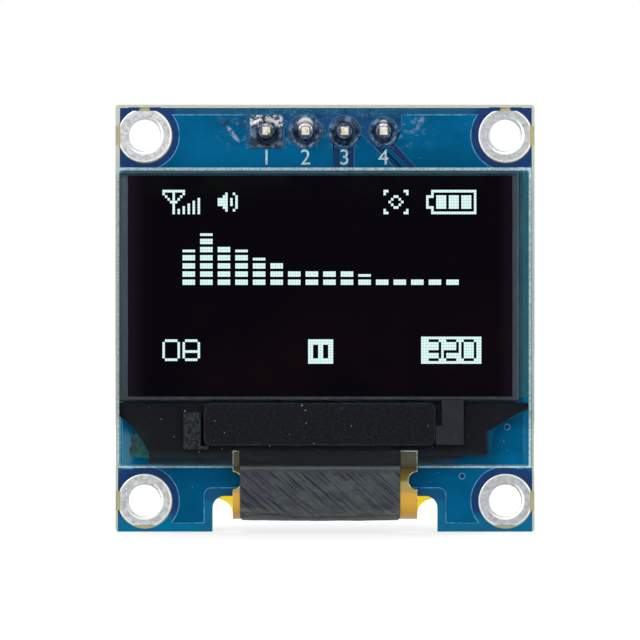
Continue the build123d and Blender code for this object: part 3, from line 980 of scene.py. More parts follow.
def neck_edge_finish():
    """The film's cut edge, with a painted highlight where it catches the light, broken by darker patches."""
    finish = Finish("neck_edge", roughness=0.4)
    finish.lay(finish.ramp(finish.axes[2], EDGE_ZONES))
    highlight_gaps = finish.noise(3.0, 4).step(0.42, 0.6)
    finish.lay("#6E6A50", highlight_gaps)
    finish.bump(highlight_gaps, 0.003, 0.4)
    return finish.material


def tape_finish(look):
    """Brushed tape, grey partly as a painted sheen, with painted highlights on its top lip and on the creases
    near the bend, and lighter towards the bottom. The mesh carries how deep each point lies in a scratch.
    """
    finish = Finish("brushed_tape", look.tape, gloss=0.25, sheen=(0.3, 0.3, 0.35))
    z = finish.axes[2]
    cloud = finish.noise(1.3, 5, 0.6, (0.6, 1, 1.4), 0.75)
    finish.lay("#3C4244", cloud.step(0.36, 0.66))
    finish.lay("#454552", cloud.step(0.5, 0.62) * 0.7)
    finish.lay("#5C6162", z.fall(-12.75, -12.2) * 0.8)
    # Painted highlights on the creases near the bend.
    crease = finish.noise(1.5, 4, 0.6, (0.5, 1, 3.5)).step(0.54, 0.62)
    finish.lay("#6E7472", crease * z.fall(-12.5, -12.1) * 0.6)
    # Painted highlight along the tape's top lip.
    finish.lay("#7A7E82", z.step(tape_high.z - 0.26, tape_high.z - 0.12) * 0.75)
    finish.lay(look.tape_groove, finish.add("Attribute", attribute_name="groove").outputs["Fac"])
    fine = finish.noise(4.0, 5, 0.65, (0.4, 1, 1.6), 0.75)
    finish.rough(fine, 0.42, 0.62)
    finish.bump(fine, 0.02, 0.7)
    return finish.material


# The board's outlines


def board_outline(left, right, top, bottom, notch=0.0, corner=NOTCH_CORNER):
    """The board drawn in by a margin on each side. The left and right margins may differ from the lower
    corner to the upper one, so each is a pair."""
    west, east = board_low.x, board_high.x
    south, north = board_low.z + bottom, board_high.z - top
    half, edge = NOTCH_HALF + notch, NOTCH_TOP + notch
    points = [(west + left[0], south), (-half, south)]
    points += arc(-half + corner, edge - corner, corner, 180, 90)
    points += arc(half - corner, edge - corner, corner, 90, 0)
    points += [(half, south), (east - right[0], south), (east - right[1], north), (west + left[1], north)]
    return points


def hole_places():
    """The side, X and Z of each mounting hole."""
    return [(side_x, side_z, side_x * HOLE_X, side_z * HOLE_Z) for side_x, side_z in HOLES.values()]


def pad_openings():
    """The holes in the mask at the mounting pads, and the bare laminate beside each pad's outer flat."""
    outlines = [disc(x + OPENING_SHIFT, z - OPENING_SHIFT, OPENING_RADIUS) for _, _, x, z in hole_places()]
    for side_x, _, x, z in hole_places():
        left, right = sorted((x + side_x * PAD_FLAT, x + side_x * BARE_END))
        outlines.append(oblong(left, z - BARE_HALF, right, z + BARE_HALF))
    return outlines


def pad_shoulders():
    """Mask that stays over the upper pads' flats, to each side of the middle."""
    sides = ((-1.05, -0.34), (0.34, 1.05))
    low, high = HOLE_Z + PAD_FLAT, HOLE_Z + 1.83
    return [oblong(x + near, low, x + far, high) for x in (-HOLE_X, HOLE_X) for near, far in sides]


def corner_clearances():
    """The gap in the copper round each hole, open to the board's corner."""
    outlines = []
    for side_x, side_z, x, z in hole_places():
        outlines.append(disc(x, z, GAP_RADIUS))
        left, right = sorted((x, side_x * (board_high.x + 1)))
        low, high = sorted((z - side_z * GAP_FOOT, side_z * (board_high.z + 1)))
        outlines.append(oblong(left, low, right, high))
    return outlines


def pin_clearances():
    """The gaps in the front copper round the header's pads and traces."""
    top = 14.5
    third = [(-0.03, 11.9), (0.6, 11.3), (0.6, 8.4), (1.86, 8.4), (1.86, 11.3), (2.4, 12.0)]
    fourth = [(2.4, 12.0), (3.4, 11.0), (6.2, 8.2), (7.3, 8.2), (4.5, 11.35), (4.95, 12.4)]
    return [
        oblong(-5.05, 11.12, -2.62, top),
        [(-2.62, 11.9), (-1.34, 11.02), (-0.03, 11.9), (-0.03, top), (-2.62, top)],
        third + [(2.4, top), (-0.03, top)],
        fourth + [(4.95, top), (2.4, top)],
    ]


def front_traces():
    """The two traces that leave the header on the front."""
    third, fourth = [(1.22, 11.6), (1.22, 8.6)], [(3.87, 11.6), (3.87, 11.15), (6.6, 8.42)]
    return strips([third], 0.49) + strips([fourth], 0.36)


def header_pads(half, corner, radii):
    """The header's pads, square at the first pin and round at the others."""
    square = rounded(*around(PIN_X[0], PIN_Z, half, half), corner)
    return [square] + [disc(x, PIN_Z, radius) for x, radius in zip(PIN_X[1:], radii)]


# The rear layout


def finger_places():
    """X of each soldered finger of the flex cable."""
    first, last = solder_low.x + FINGER_WIDTH / 2, solder_high.x - FINGER_WIDTH / 2
    return [first + (last - first) * i / (FINGERS - 1) for i in range(FINGERS)]


def chip_ends():
    """X, Z, height and side of each termination of the chip components."""
    ends = []
    for node in CHIPS:
        low, high = span(node)
        ends += [(centre(node)[0], edge, high.y - low.y, side) for side, edge in ((-1, low.z), (1, high.z))]
    return ends


def chip_pads():
    """The tinned pads under the components' ends and the regulator's feet."""
    low, high = span("regulator_leads")
    feet = [(centre("regulator_leads")[0], high.z), (low.x + 0.2, low.z), (high.x - 0.2, low.z)]
    pads = [around(x, z, 0.46, 0.42) for x, z, _, _ in chip_ends()]
    pads += [around(x, z, 0.4, 0.45) for x, z in feet]
    return [rounded(*pad, 0.08) for pad in pads]


def widened(outline, by):
    """An outline pushed out from its middle."""
    x = sum(p[0] for p in outline) / len(outline)
    z = sum(p[1] for p in outline) / len(outline)
    return [(px + math.copysign(by, px - x), pz + math.copysign(by, pz - z)) for px, pz in outline]


def rear_routes():
    """Centre lines of the traces on the back. Most start at one of the cable's fingers and rise to some Z."""
    fingers = (
        (7, -6.4),
        (11, -6.4),
        (15, -6.4),
        (19, -6.4),
        (5, -4.2, (-6.05, -3.9), (-6.05, -3.3)),
        (9, -4.5, (-4.35, -3.6)),
        (12, -4.5, (-2.65, -3.4)),
        (13, -3.4),
        (17, -4.4, (0.75, -3.5)),
        (21, -4.7, (2.45, -3.2)),
        (2, 1.4, (-8.6, 2.3)),
        (3, -0.2, (-6.05, 0.9), (-6.05, 2.8)),
        (24, 0.9, (6.45, 1.5), (6.45, 2.0)),
        (26, 0.1, (8.35, 1.3), (8.35, 2.0)),
    )
    at, start = finger_places(), solder_high.z - 0.1
    routes = [[(at[finger], start), (at[finger], rise), *rest] for finger, rise, *rest in fingers]
    return routes + [
        [(-6.05, -1.5), (-6.05, -0.7), (-4.35, -0.7), (-4.35, -1.5)],
        [(-2.65, -1.5), (-2.65, 5.8), (PIN_X[1], 7.2), (PIN_X[1], 11.0)],
        [(-0.95, -1.5), (-0.95, 0.6), (-0.3, 1.25), (-0.3, 3.2)],
        [(0.75, -1.5), (0.75, 4.0), (PIN_X[2], 4.52), (PIN_X[2], 11.0)],
        [(2.45, -1.5), (2.45, 5.2), (PIN_X[3], 6.56), (PIN_X[3], 11.0)],
        [(4.65, 4.1), (4.65, 5.4), (6.2, 6.95), (7.4, 6.95), (7.4, 4.1)],
        [(10.15, 4.1), (10.15, 5.6), (9.3, 6.45)],
        [(-8.6, 4.1), (-8.6, 6.2), (-6.9, 7.9), (-5.4, 7.9)],
    ]


def vias():
    """X and Z of the plated holes under the mask: those that show on the front, and all of them."""
    front = [(8.93, -10.29), (11.86, -7.09)]
    back = [(-6.05, 2.8), (-0.3, 3.2), (9.3, 6.45), (-5.4, 7.9), (-10.6, 6.6), (-10.6, -3.4), (5.2, -1.6)]
    back += [(10.9, -3.6), (10.7, 0.2), (-10.4, 0.9), (6.3, 9.0), (-8.1, 9.4), (0.2, 7.4), (-4.4, 4.6)]
    return front, front + back


class MODULE_OT_mask(bpy.types.Operator):
    """Solder mask on both faces, raised where copper lies under it, with openings at the pads"""

    bl_idname = "display_module.mask"
    bl_label = "Solder mask"

    def execute(self, context):
        look = looks().board
        dress(laminate_finish(look), "circuit_board")
        # The edge finish paints a highlight on the slopes at the copper's edges.
        border, copper, edge = border_finish(look), copper_finish(look), edge_finish(look)
        thin, thick, slope = look.mask_height / MM, look.copper_height / MM, look.edge_slope / MM
        openings = pad_openings()
        rim = board_outline((0.15, 0.3), (0.15, 0.19), 0.21, 0.006)
        piece("front_mask", layer(FRONT, 0, thin, [rim], openings, pad_shoulders()), "board_mask", border)
        pour = board_outline((0.4, 0.4), (0.67, 0.67), 0.62, 0.53, 0.5, 0.45)
        cuts = corner_clearances() + pin_clearances()
        kept = front_traces() + header_pads(1.17, 0.34, (1.17, 1.1, 1.0))
        piece("front_copper", layer(FRONT, 0, thick, [pour], cuts, kept, slope), "board_mask", copper, edge)
        rim = board_outline((0.12, 0.1), (0.1, 0.13), 0.1, 0.1)
        piece("rear_mask", layer(BACK, BOARD_BACK, thin, [rim], openings), "board_mask", border)
        pour = board_outline((0.5, 0.5), (0.5, 0.5), 0.5, 0.5, 0.5, 0.45)
        routes = rear_routes()
        islands = [widened(pad, 0.2) for pad in chip_pads()]
        row = oblong(solder_low.x - 0.3, solder_low.z, solder_high.x + 0.3, solder_high.z + 0.28)
        cuts = corner_clearances() + strips(routes, 0.66) + islands + [row]
        mesh = layer(BACK, BOARD_BACK, thick, [pour], cuts, strips(routes, 0.24), slope * 0.6)
        piece("rear_copper", mesh, "board_mask", copper, edge)
        return {"FINISHED"}


def part_frames():
    """Left, bottom, right and top of the printed frame round each part on the back."""
    frames = []
    for node in CHIPS:
        low, high = span(node)
        frames.append(around(*centre(node), 0.68, (high.z - low.z) / 2 + 0.62))
    low, high = span("header_body")
    return frames + [around(*centre("header_body"), (high.x - low.x) / 2 + 0.28, 1.5)]


class MODULE_OT_print(bpy.types.Operator):
    """White print: the panel's outline, part outlines and the pins' numbers"""

    bl_idname = "display_module.print"
    bl_label = "Print"

    def execute(self, context):
        look = looks().board
        ink, height = ink_finish(look), look.ink_height / MM
        half_line = 0.19 / 2
        panel = (-13.42, -9.66, 13.35, 9.71)
        outer, inner = oblong(*grown(panel, half_line)), oblong(*grown(panel, -half_line))
        piece("front_print", layer(FRONT, 0, height, [outer], [inner]), "board_mask", ink)
        piece("front_numbers", numbers(FRONT, 0, height, 1.0, 10.43), "board_mask", ink)
        outer = [oblong(*box) for box in part_frames()]
        inner = [oblong(*grown(box, -0.13)) for box in part_frames()]
        piece("rear_print", layer(BACK, BOARD_BACK, height, outer, inner), "board_mask", ink)
        piece("rear_numbers", numbers(BACK, BOARD_BACK, height, 1.1, 9.95), "board_mask", ink)
        return {"FINISHED"}


TIN_RISE = (
    (0.0, 0.012), (0.04, 0.036), (0.1, 0.048), (0.18, 0.046), (0.28, 0.038), (0.4, 0.033), (0.52, 0.031),
    (0.64, 0.032), (0.75, 0.036), (0.84, 0.044), (0.9, 0.049), (0.95, 0.047), (0.985, 0.036), (1.0, 0.012),
)
VIA_RIM = ((0.12, 0.0), (0.13, -0.026), (0.16, -0.034), (0.19, -0.037), (0.22, -0.036), (0.25, -0.01))
VIA_WELL = ((0.02, -0.038), (0.12, -0.038), (0.12, 0), (0.02, 0))
STRAIGHT, UPRIGHT = (0, 0, 0), (1, 1, 1)


def tinned_lining(side_x, side_z):
    """A hole's lining with a pad on each face, its tin drawn up at the rim and round the bore."""
    front = [(HOLE_RADIUS, 0.02)] + [(2 + s, -h) for s, h in TIN_RISE] + [(3.0, ROOT)]
    back = [(r, BOARD_BACK - y) for r, y in reversed(front)]
    sleeve = HOLE_RADIUS + 0.06
    profile = front + [(sleeve, ROOT), (sleeve, BOARD_BACK - ROOT)] + back

    def reach(angle, radius, y):
        """Radii of 2 and over say how far across the pad a point lies, from the bore to the pad's rim."""
        if radius < 2:
            return radius
        limit = PAD_RADIUS
        for share in (math.cos(angle) * side_x, math.sin(angle) * side_z):
            if share * PAD_RADIUS > PAD_FLAT:
                limit = min(limit, PAD_FLAT / share)
        return HOLE_RADIUS + (radius - 2) * (limit - HOLE_RADIUS)

    def lift(angle, radius, y):
        """Small lumps in the tin, never above the highest rim."""
        if not (-0.049 < y < -0.013 or BOARD_BACK + 0.013 < y < BOARD_BACK + 0.049):
            return y
        spot = (6 * radius * math.cos(angle), 9 * side_x + side_z, 6 * radius * math.sin(angle))
        lump = 0.007 * noise.noise(spot)
        return y + (lump if y < 0 else -lump)

    return lathe(profile, side_x * HOLE_X, side_z * HOLE_Z, 120, reach, lift)


def joint_mesh(number, x):
    """A header joint: a hollow cone of solder with a soft crown, uneven all round."""
    low, high = span(f"solder_joint_{number}")
    foot = (high.x - low.x) / 2
    tall, back = -low.y, high.y
    crown, bend, core, bore, edge = 0.5, 0.13, 0.45, 0.28, 0.54
    middle = ((crown + foot) / 2 - bend, tall / 2 - bend)
    hinge = (2 * middle[0] - (crown + foot) / 2, 2 * middle[1] - tall / 2)
    profile = []
    for i in range(15):
        t = i / 14
        a, b, c = (1 - t) ** 2, 2 * t * (1 - t), t * t
        profile.append((a * foot + b * hinge[0] + c * crown, -(b * hinge[1] + c * (tall - 0.03))))
    profile += [(0.46, -tall + 0.004), (0.4, -tall), (0.34, -tall + 0.02), (bore, -tall + 0.06)]
    profile += [(bore, back), (edge, back), (edge, 0.01), (foot - 0.02, 0.01)]
    squareness = 3.4 if number == 1 else 2.2

    def reach(angle, radius, y):
        if radius < core or y > 0.005:
            return radius
        share = (radius - core) / (foot - core)
        powers = abs(math.cos(angle)) ** squareness + abs(math.sin(angle)) ** squareness
        corner = powers ** (-1 / squareness)
        lump = noise.noise((math.cos(angle) * 1.3 + 7 * number, y * 1.6, math.sin(angle) * 1.3))
        return radius * (1 + share * 0.5 * (corner - 1)) + 0.035 * lump * (0.3 + share) * (1 - share * 0.8)

    return lathe(profile, x, PIN_Z, 72, reach)


class MODULE_OT_pads(bpy.types.Operator):
    """Tinned pads and hole linings, the header's pads and the vias under the mask"""

    bl_idname = "display_module.pads"
    bl_label = "Pads and vias"

    def execute(self, context):
        look = looks()
        tin, dark, bright = tin_finish(look.metal), joint_finish(look.metal), solder_finish(look.metal)
        for name, sides in HOLES.items():
            lining = tinned_lining(*sides)
            piece(f"tinned_hole_{name}", lining, "tin_plating", tin, replaced=[f"hole_plating_{name}"])
        pads = header_pads(1.09, 0.3, (1.1, 1.03, 0.93))
        piece("header_pads", layer(FRONT, 0, PAD_HEIGHT, pads, slope=PAD_SLOPE), "solder", dark, dark)
        for i, x in enumerate(PIN_X, 1):
            piece(f"header_joint_{i}", joint_mesh(i, x), "solder", dark, replaced=[f"solder_joint_{i}"])
        bottom, top = solder_low.z + 0.85, solder_high.z + 0.14
        feet = [oblong(x - 0.19, bottom, x + 0.19, top) for x in finger_places()]
        mesh = layer(BACK, BOARD_BACK, PAD_HEIGHT, chip_pads() + feet, slope=PAD_SLOPE)
        piece("rear_pads", mesh, "solder", bright, bright)
        front, back = vias()
        places = [((x, 0, z), STRAIGHT, UPRIGHT) for x, z in front]
        places += [((x, BOARD_BACK, z), (0, 0, math.pi), UPRIGHT) for x, z in back]
        # The vias' rims take the painted highlight of the mask's edges.
        edge = edge_finish(look.board)
        piece("via_rims", repeats(lathe(VIA_RIM, 0, 0, 20), places, edge), "board_mask")
        well = plain_finish("via_wells", "#0B1C44", "#14285A", 3, 0.3, 0.01, 0.2)
        piece("via_wells", repeats(lathe(VIA_WELL, 0, 0, 16), places, well), "board_mask")
        return {"FINISHED"}


FILLET_HEIGHT = 0.8


def fillet_mesh():
    """A concave wedge of solder at a component's end, which thins out along +Z."""
    bm = bmesh.new()
    rows = []
    for i in range(9):
        across = -1 + i / 4
        swell, shrink = 1 - 0.35 * across**4, 1 - 0.25 * across**4
        curve = [(0.62 * swell * (1 - k / 7) ** 2.1 + 0.02, 0.4 * (k / 7) * shrink) for k in range(8)]
        curve += [(0, curve[-1][1]), (0, -0.03), (curve[0][0], -0.03)]
        rows.append([point(bm, across * 0.41, height, out) for height, out in curve])
    skin(bm, rows, closed=True)
    bm.faces.new(rows[0])
    bm.faces.new(rows[-1][::-1])
    return close_mesh(bm, smooth=True)


class MODULE_OT_metal(bpy.types.Operator):
    """Pins, leads, the flex cable's solder and the solder at the components' ends"""

    bl_idname = "display_module.metal"
    bl_label = "Pins and solder"

    def execute(self, context):
        dress(pin_finish(looks().metal), "regulator_leads", *PINS)
        bright = bpy.data.materials["bright_solder"]
        dress(bright, "flex_solder", *CHIPS)
        places = []
        for x, z, height, side in chip_ends():
            turn = STRAIGHT if side > 0 else (0, math.pi, 0)
            places.append(((x, BOARD_BACK, z), turn, (1, height / FILLET_HEIGHT, 1)))
        piece("component_fillets", repeats(fillet_mesh(), places, bright), "solder")
        return {"FINISHED"}


# The picture on the screen, drawn in cells

SCREEN_LEFT, SCREEN_TOP = -10.547, 8.32
PITCH_X, PITCH_Z = 0.1629, 0.1763
STROKES = {"0": "abcdef", "2": "abged", "3": "abgcd", "8": "abcdefg"}
LEVELS = (4.5, 6.5, 5, 4.5, 3.5, 3, 2, 2, 2, 2, 1.5, 1, 1, 1, 1, 1)


def cells(column, row, width=1, height=1):
    return {(c, r) for c in range(column, column + width) for r in range(row, row + height)}


def aerial_icon(column, row):
    """An aerial with five rising bars."""
    lit = cells(column, row, 9) | cells(column + 4, row, 1, 9)
    for i in range(4):
        lit |= cells(column + i, row + 1 + i) | cells(column + 8 - i, row + 1 + i)
    for i in range(5):
        lit |= cells(column + 6 + 2 * i, row + 7 - i, 1, 2 + i)
    return lit


def speaker_icon(column, row):
    lit = cells(column, row + 3, 2, 3) | cells(column + 2, row + 2, 1, 5) | cells(column + 3, row + 1, 1, 7)
    lit |= cells(column + 5, row + 3, 1, 3)
    return lit | cells(column + 6, row + 1) | cells(column + 7, row + 2, 1, 5) | cells(column + 6, row + 7)


def target_icon(column, row):
    """Four corner brackets round a hollow diamond."""
    lit = set()
    for right, low in ((0, 0), (0, 1), (1, 0), (1, 1)):
        x, y = column + 9 * right, row + 8 * low
        lit |= cells(x, y) | cells(x + 1 - 2 * right, y) | cells(x, y + 1 - 2 * low)
    for i in range(3):
        for down in (i, 4 - i):
            lit |= cells(column + 4 - i, row + 2 + down) | cells(column + 5 + i, row + 2 + down)
    return lit


def battery_icon(column, row):
    """A battery lying down, with its terminal at the left and three full blocks."""
    lit = cells(column + 2, row, 18) | cells(column + 2, row + 8, 18) | cells(column + 19, row, 1, 9)
    lit |= cells(column + 2, row, 1, 3) | cells(column + 2, row + 6, 1, 3)
    lit |= cells(column, row + 2, 1, 5) | cells(column, row + 2, 3) | cells(column, row + 6, 3)
    for i in range(3):
        lit |= cells(column + 4 + 5 * i, row + 2, 4, 5)
    return lit


def pause_icon(column, row):
    return cells(column, row, 10, 9) - cells(column + 2, row + 2, 2, 5) - cells(column + 6, row + 2, 2, 5)


def level_bars(column, bottom):
    """Sixteen level meters of stacked blocks. Half a level is a single row."""
    lit = set()
    for i, level in enumerate(LEVELS):
        for k in range(int(level)):
            lit |= cells(column + 7 * i, bottom - 3 * k - 2, 5, 2)
        if level % 1:
            lit |= cells(column + 7 * i, bottom - 3 * int(level) - 1, 5)
    return lit


def numeral(figure, column, row, width, height):
    """A figure in seven strokes."""
    middle, right = height // 2, column + width - 1
    strokes = {
        "a": cells(column + 1, row, width - 2),
        "g": cells(column + 1, row + middle, width - 2),
        "d": cells(column + 1, row + height - 1, width - 2),
        "f": cells(column, row + 1, 1, middle),
        "b": cells(right, row + 1, 1, middle),
        "e": cells(column, row + middle, 1, height - middle - 1),
        "c": cells(right, row + middle, 1, height - middle - 1),
    }
    return set().union(*(strokes[s] for s in STROKES[figure]))


def picture():
    """Every lit cell of the screen."""
    lit = aerial_icon(0, 0) | speaker_icon(22, 0) | target_icon(88, 0) | battery_icon(105, 0)
    lit |= level_bars(8, 35) | pause_icon(58, 55) | numeral("0", 0, 55, 7, 8) | numeral("8", 8, 55, 7, 8)
    plate = cells(103, 54, 24, 10)
    for i, figure in enumerate("320"):
        plate -= numeral(figure, 105 + 7 * i, 55, 6, 8)
    return lit | plate


class MODULE_OT_screen(bpy.types.Operator):
    """The polarizer and the lit pixels of the picture"""

    bl_idname = "display_module.screen"
    bl_label = "Screen"

    def execute(self, context):
        look = looks().panel
        dress(film_finish(look), "polarizer")
        pixel = block_mesh(PITCH_X * look.pixel_fill, 0.006, PITCH_Z * look.pixel_fill)
        places = []
        for column, row in sorted(picture()):
            x = SCREEN_LEFT + (column + 0.5) * PITCH_X
            z = SCREEN_TOP - (row + 0.5) * PITCH_Z
            places.append(((x, film_low.y - 0.001, z), STRAIGHT, UPRIGHT))
        piece("lit_pixels", repeats(pixel, places, lit_finish(look)), "emitter")
        return {"FINISHED"}


def pane_mesh():
    """The front glass with ground sides and fine ground bevels. Its back stays clear of what it carries."""
    low, high = glass_low, glass_high - Vector((0, PANE_GAP, 0))
    mesh = block_mesh(*(high - low), bevel=0.05)
    mesh.transform(Matrix.Translation((low + high) / 2 * MM))
    for face in mesh.polygons:
        face.material_index = int(abs(face.normal.y) < 0.95)
    return mesh


def patch_mesh(left, bottom, right, top, surface):
    """A small rectangle of torn adhesive: a height field with a closed back."""
    columns, rows = 34, 64
    bm = bmesh.new()
    grid = []
    for r in range(rows + 1):
        line = []
        for c in range(columns + 1):
            x = left + (right - left) * c / columns
            z = bottom + (top - bottom) * r / rows
            rough = noise.noise((x * 4, z * 6, 0)) + 0.6 * noise.noise((x * 13, z * 17, 3))
            border = min(c, columns - c, r, rows - r) == 0
            line.append(point(bm, x, surface - (0.006 if border else 0.022 + 0.012 * rough), z))
        grid.append(line)
    skin(bm, grid)
    walls = bmesh.ops.extrude_edge_only(bm, edges=[e for e in bm.edges if e.is_boundary])["geom"]
    for part in walls:
        if isinstance(part, bmesh.types.BMVert):
            part.co.y = (surface + ROOT) * MM
    bmesh.ops.contextual_create(bm, geom=[e for e in bm.edges if e.is_boundary])
    return close_mesh(bm)


def speck_places(count):
    """Dust on the ledge, and on the shield film where that covers it."""
    dust = random.Random(7)
    places = []
    for _ in range(count):
        x = dust.uniform(glass_low.x + 0.6, glass_high.x - 0.8)
        z = dust.uniform(cap_low.z - 3.3, cap_low.z - 0.05)
        size = 0.28 + dust.random() ** 4 * 1.1
        spin = dust.uniform(0, math.pi)
        on_shield = shield_low.x < x < shield_high.x and z > shield_low.z
        y = (shield_low.y if on_shield else glass_low.y) - 0.004
        places.append(((x, y, z), (0, spin, 0), (size, 1, size * dust.uniform(0.5, 1.1))))
    return places


INNER_FINISHES = {
    "emitter_layer": ("emitter_stack", "#0A0A0D", "#121116", 1.0, 0.1, 0.002),
    "desiccant_sheet": ("desiccant", "#D8D4C8", "#C4BFAF", 4.0, 0.8, 0.01),
    "driver_chip": ("chip_silicon", "#2A2C34", "#1D1F26", 2.0, 0.15, 0.002),
    "mounting_tape": ("foam_tape", "#C8C8BE", "#9C9C92", 3.0, 0.85, 0.03),
}
RESIN_TONGUE = (
    (-12.7, -8.9), (-12.45, -9.1), (-11.9, -9.05), (-11.3, -9.12), (-11.75, -8.2), (-12.2, -7.5),
    (-12.4, -7.55), (-12.62, -7.8), (-12.55, -8.2), (-12.72, -8.5),
)


class MODULE_OT_panel(bpy.types.Operator):
    """Glass, seal, resin and the films on the panel's ledge"""

    bl_idname = "display_module.panel"
    bl_label = "Panel"

    def execute(self, context):
        look = looks().panel
        clear = glass_finish()
        dress(clear, "front_glass")
        ground = plain_finish("ground_glass_edge", "#91A6A6", "#7E9496", 3.5, 0.55, 0.01)
        piece("glass_pane", pane_mesh(), "panel_glass", clear, ground, replaced=["front_glass"])
        dress(cap_finish(), "cap_glass")
        dress(seal_finish(look), "seal_frame")
        dress(resin_finish(look), "chip_resin")
        dress(shield_finish("light_shield", look.shield), "light_shield")
        for node, values in INNER_FINISHES.items():
            dress(plain_finish(*values), node)
        self.resin(look)
        self.films()
        piece("resin_film", layer(FRONT, cap_low.y, 0.03, [RESIN_TONGUE]), "black_resin", haze_finish())
        grey = plain_finish("dust", "#A6A8AC", "#5A5C61", 6.0, 0.7, 0.004)
        mote = block_mesh(0.07, 0.02, 0.07, 0.012)
        piece("ledge_dust", repeats(mote, speck_places(look.speck_count), grey), "shield_film")
        return {"FINISHED"}

    def resin(self, look):
        """The bead behind the cable's bond, and the resin's thin lower edge."""
        bead = rounded(-6.2, glass_low.z + 0.05, 6.2, -8.2, 0.3)
        matte = plain_finish("bond_bead", "#1C1D20", "#212226", 2.0, 0.5, 0.004, 0.1)
        piece("bond_bead", layer(FRONT, -0.93, 0.01, [bead]), "black_resin", matte)
        thin = [oblong(-11.45, -9.46, -6.03, -8.8), [(6.03, -9.46), (8.3, -9.46), (9.3, -8.8), (6.03, -8.8)]]
        piece("resin_edge", layer(FRONT, -0.98, 0.02, thin), "black_resin", resin_edge_finish(look))

    def films(self):
        """The shield's rim, a pale strip along the polarizer's lower edge, the seal's overflow and the
        ledge's patches.
        """
        ledge = glass_low.y
        shield = (shield_low.x, shield_low.z, shield_high.x, shield_high.z)
        outer, inner = rounded(*shield, 0.45), rounded(*grown(shield, -0.06), 0.4)
        rim = shield_finish("shield_rim", tint("#26282C"), 2.5)
        piece("shield_rim", layer(FRONT, shield_low.y, 0.012, [outer], [inner]), "shield_film", rim)
        # A pale strip along the polarizer's lower edge.
        pale_strip = plain_finish("film_adhesive", "#2F3136", "#3F4146", 1.6, 0.3, 0.01, 0.2)
        line = oblong(film_low.x, film_low.z - 0.19, film_high.x, film_low.z + 0.05)
        piece("film_adhesive", layer(FRONT, ledge, 0.11, [line], slope=0.05), "polarizer_film", pale_strip, pale_strip)
        spill = plain_finish("seal_overflow", "#526B37", "#48603A", 0.9, 0.5, 0.004, 0.1, Alpha=0.22)
        strip = oblong(cap_high.x + 0.08, cap_low.z + 0.3, glass_high.x - 0.06, cap_high.z - 0.06)
        piece("seal_overflow", layer(FRONT, cap_low.y + 0.01, 0.01, [strip]), "seal", spill)
        sticker = shield_finish("ledge_film", tint("#282C30"), 1.2, 0.004, 1.25)
        shapes = [oblong(7.58, -8.22, 9.0, -5.24), oblong(7.2, -8.22, 7.6, -6.97)]
        piece("ledge_film", layer(FRONT, ledge, 0.03, shapes), "shield_film", sticker)
        rough = shield_finish("ledge_patch", tint("#1D2123"), 4.5, 0.03, 3.4)
        piece("ledge_patch", patch_mesh(-9.2, -8.53, -8.08, -6.1, ledge), "shield_film", rough)
        piece("ledge_patch_foot", patch_mesh(-8.08, -8.53, -7.55, -8.3, ledge), "shield_film", rough)


def neck_edges():
    """Lines along both edges of the cable's neck, round its reliefs and over the ears beside the tape."""
    middle, edge, top, relief, radius = 6, 5.975, -8.64, -10.56, 0.605
    routes = []
    for side, inner in ((-1, tape_low.x - 0.06), (1, tape_high.x + 0.06)):
        turn = [(middle + x, z) for x, z in arc(0, relief, radius, 92, 268, 14)]
        route = [(edge, top), (edge, relief + radius), *turn, (edge, relief - radius), (edge, -11.9)]
        routes.append([(inner, top)] + [(side * x, z) for x, z in route])
    return routes


def clamp(value):
    return min(max(value, 0), 1)


def groove(across, down):
    """How deep a point of the tape lies in a scratch, from 0 to 1. The scratches run down to the right, and
    creases run across near the bend."""
    along = across * 0.75 + down * 0.66
    over = across * 0.66 - down * 0.75
    waver = 0.06 * noise.noise((along * 1.6, over * 0.8, 5))
    waver += 0.02 * noise.noise((along * 6.0, over * 2.0, 8))
    deepest = 0.0
    for spacing, width, reach, seed in ((0.66, 0.06, 0.35, 1), (0.41, 0.038, 0.5, 4), (0.27, 0.024, 0.75, 9)):
        lane = math.floor((over + waver) / spacing)
        middle = (lane + 0.5 + 0.3 * noise.noise((lane * 3.7, seed, 0))) * spacing
        line = math.exp(-(((over + waver - middle) / width) ** 2))
        deepest = max(deepest, line * clamp(2.9 * noise.noise((lane * 5.3, along * reach, seed)) + 0.25))
    fold = abs(noise.noise((across * 0.22, down * 2.6, 31)))
    near_bend = clamp((down - 2.6) / 0.5)
    lip = clamp((down - 0.3) / 0.15)
    return max(deepest * lip * (1 - 0.5 * near_bend), 0.8 * math.exp(-((fold / 0.04) ** 2)) * near_bend)


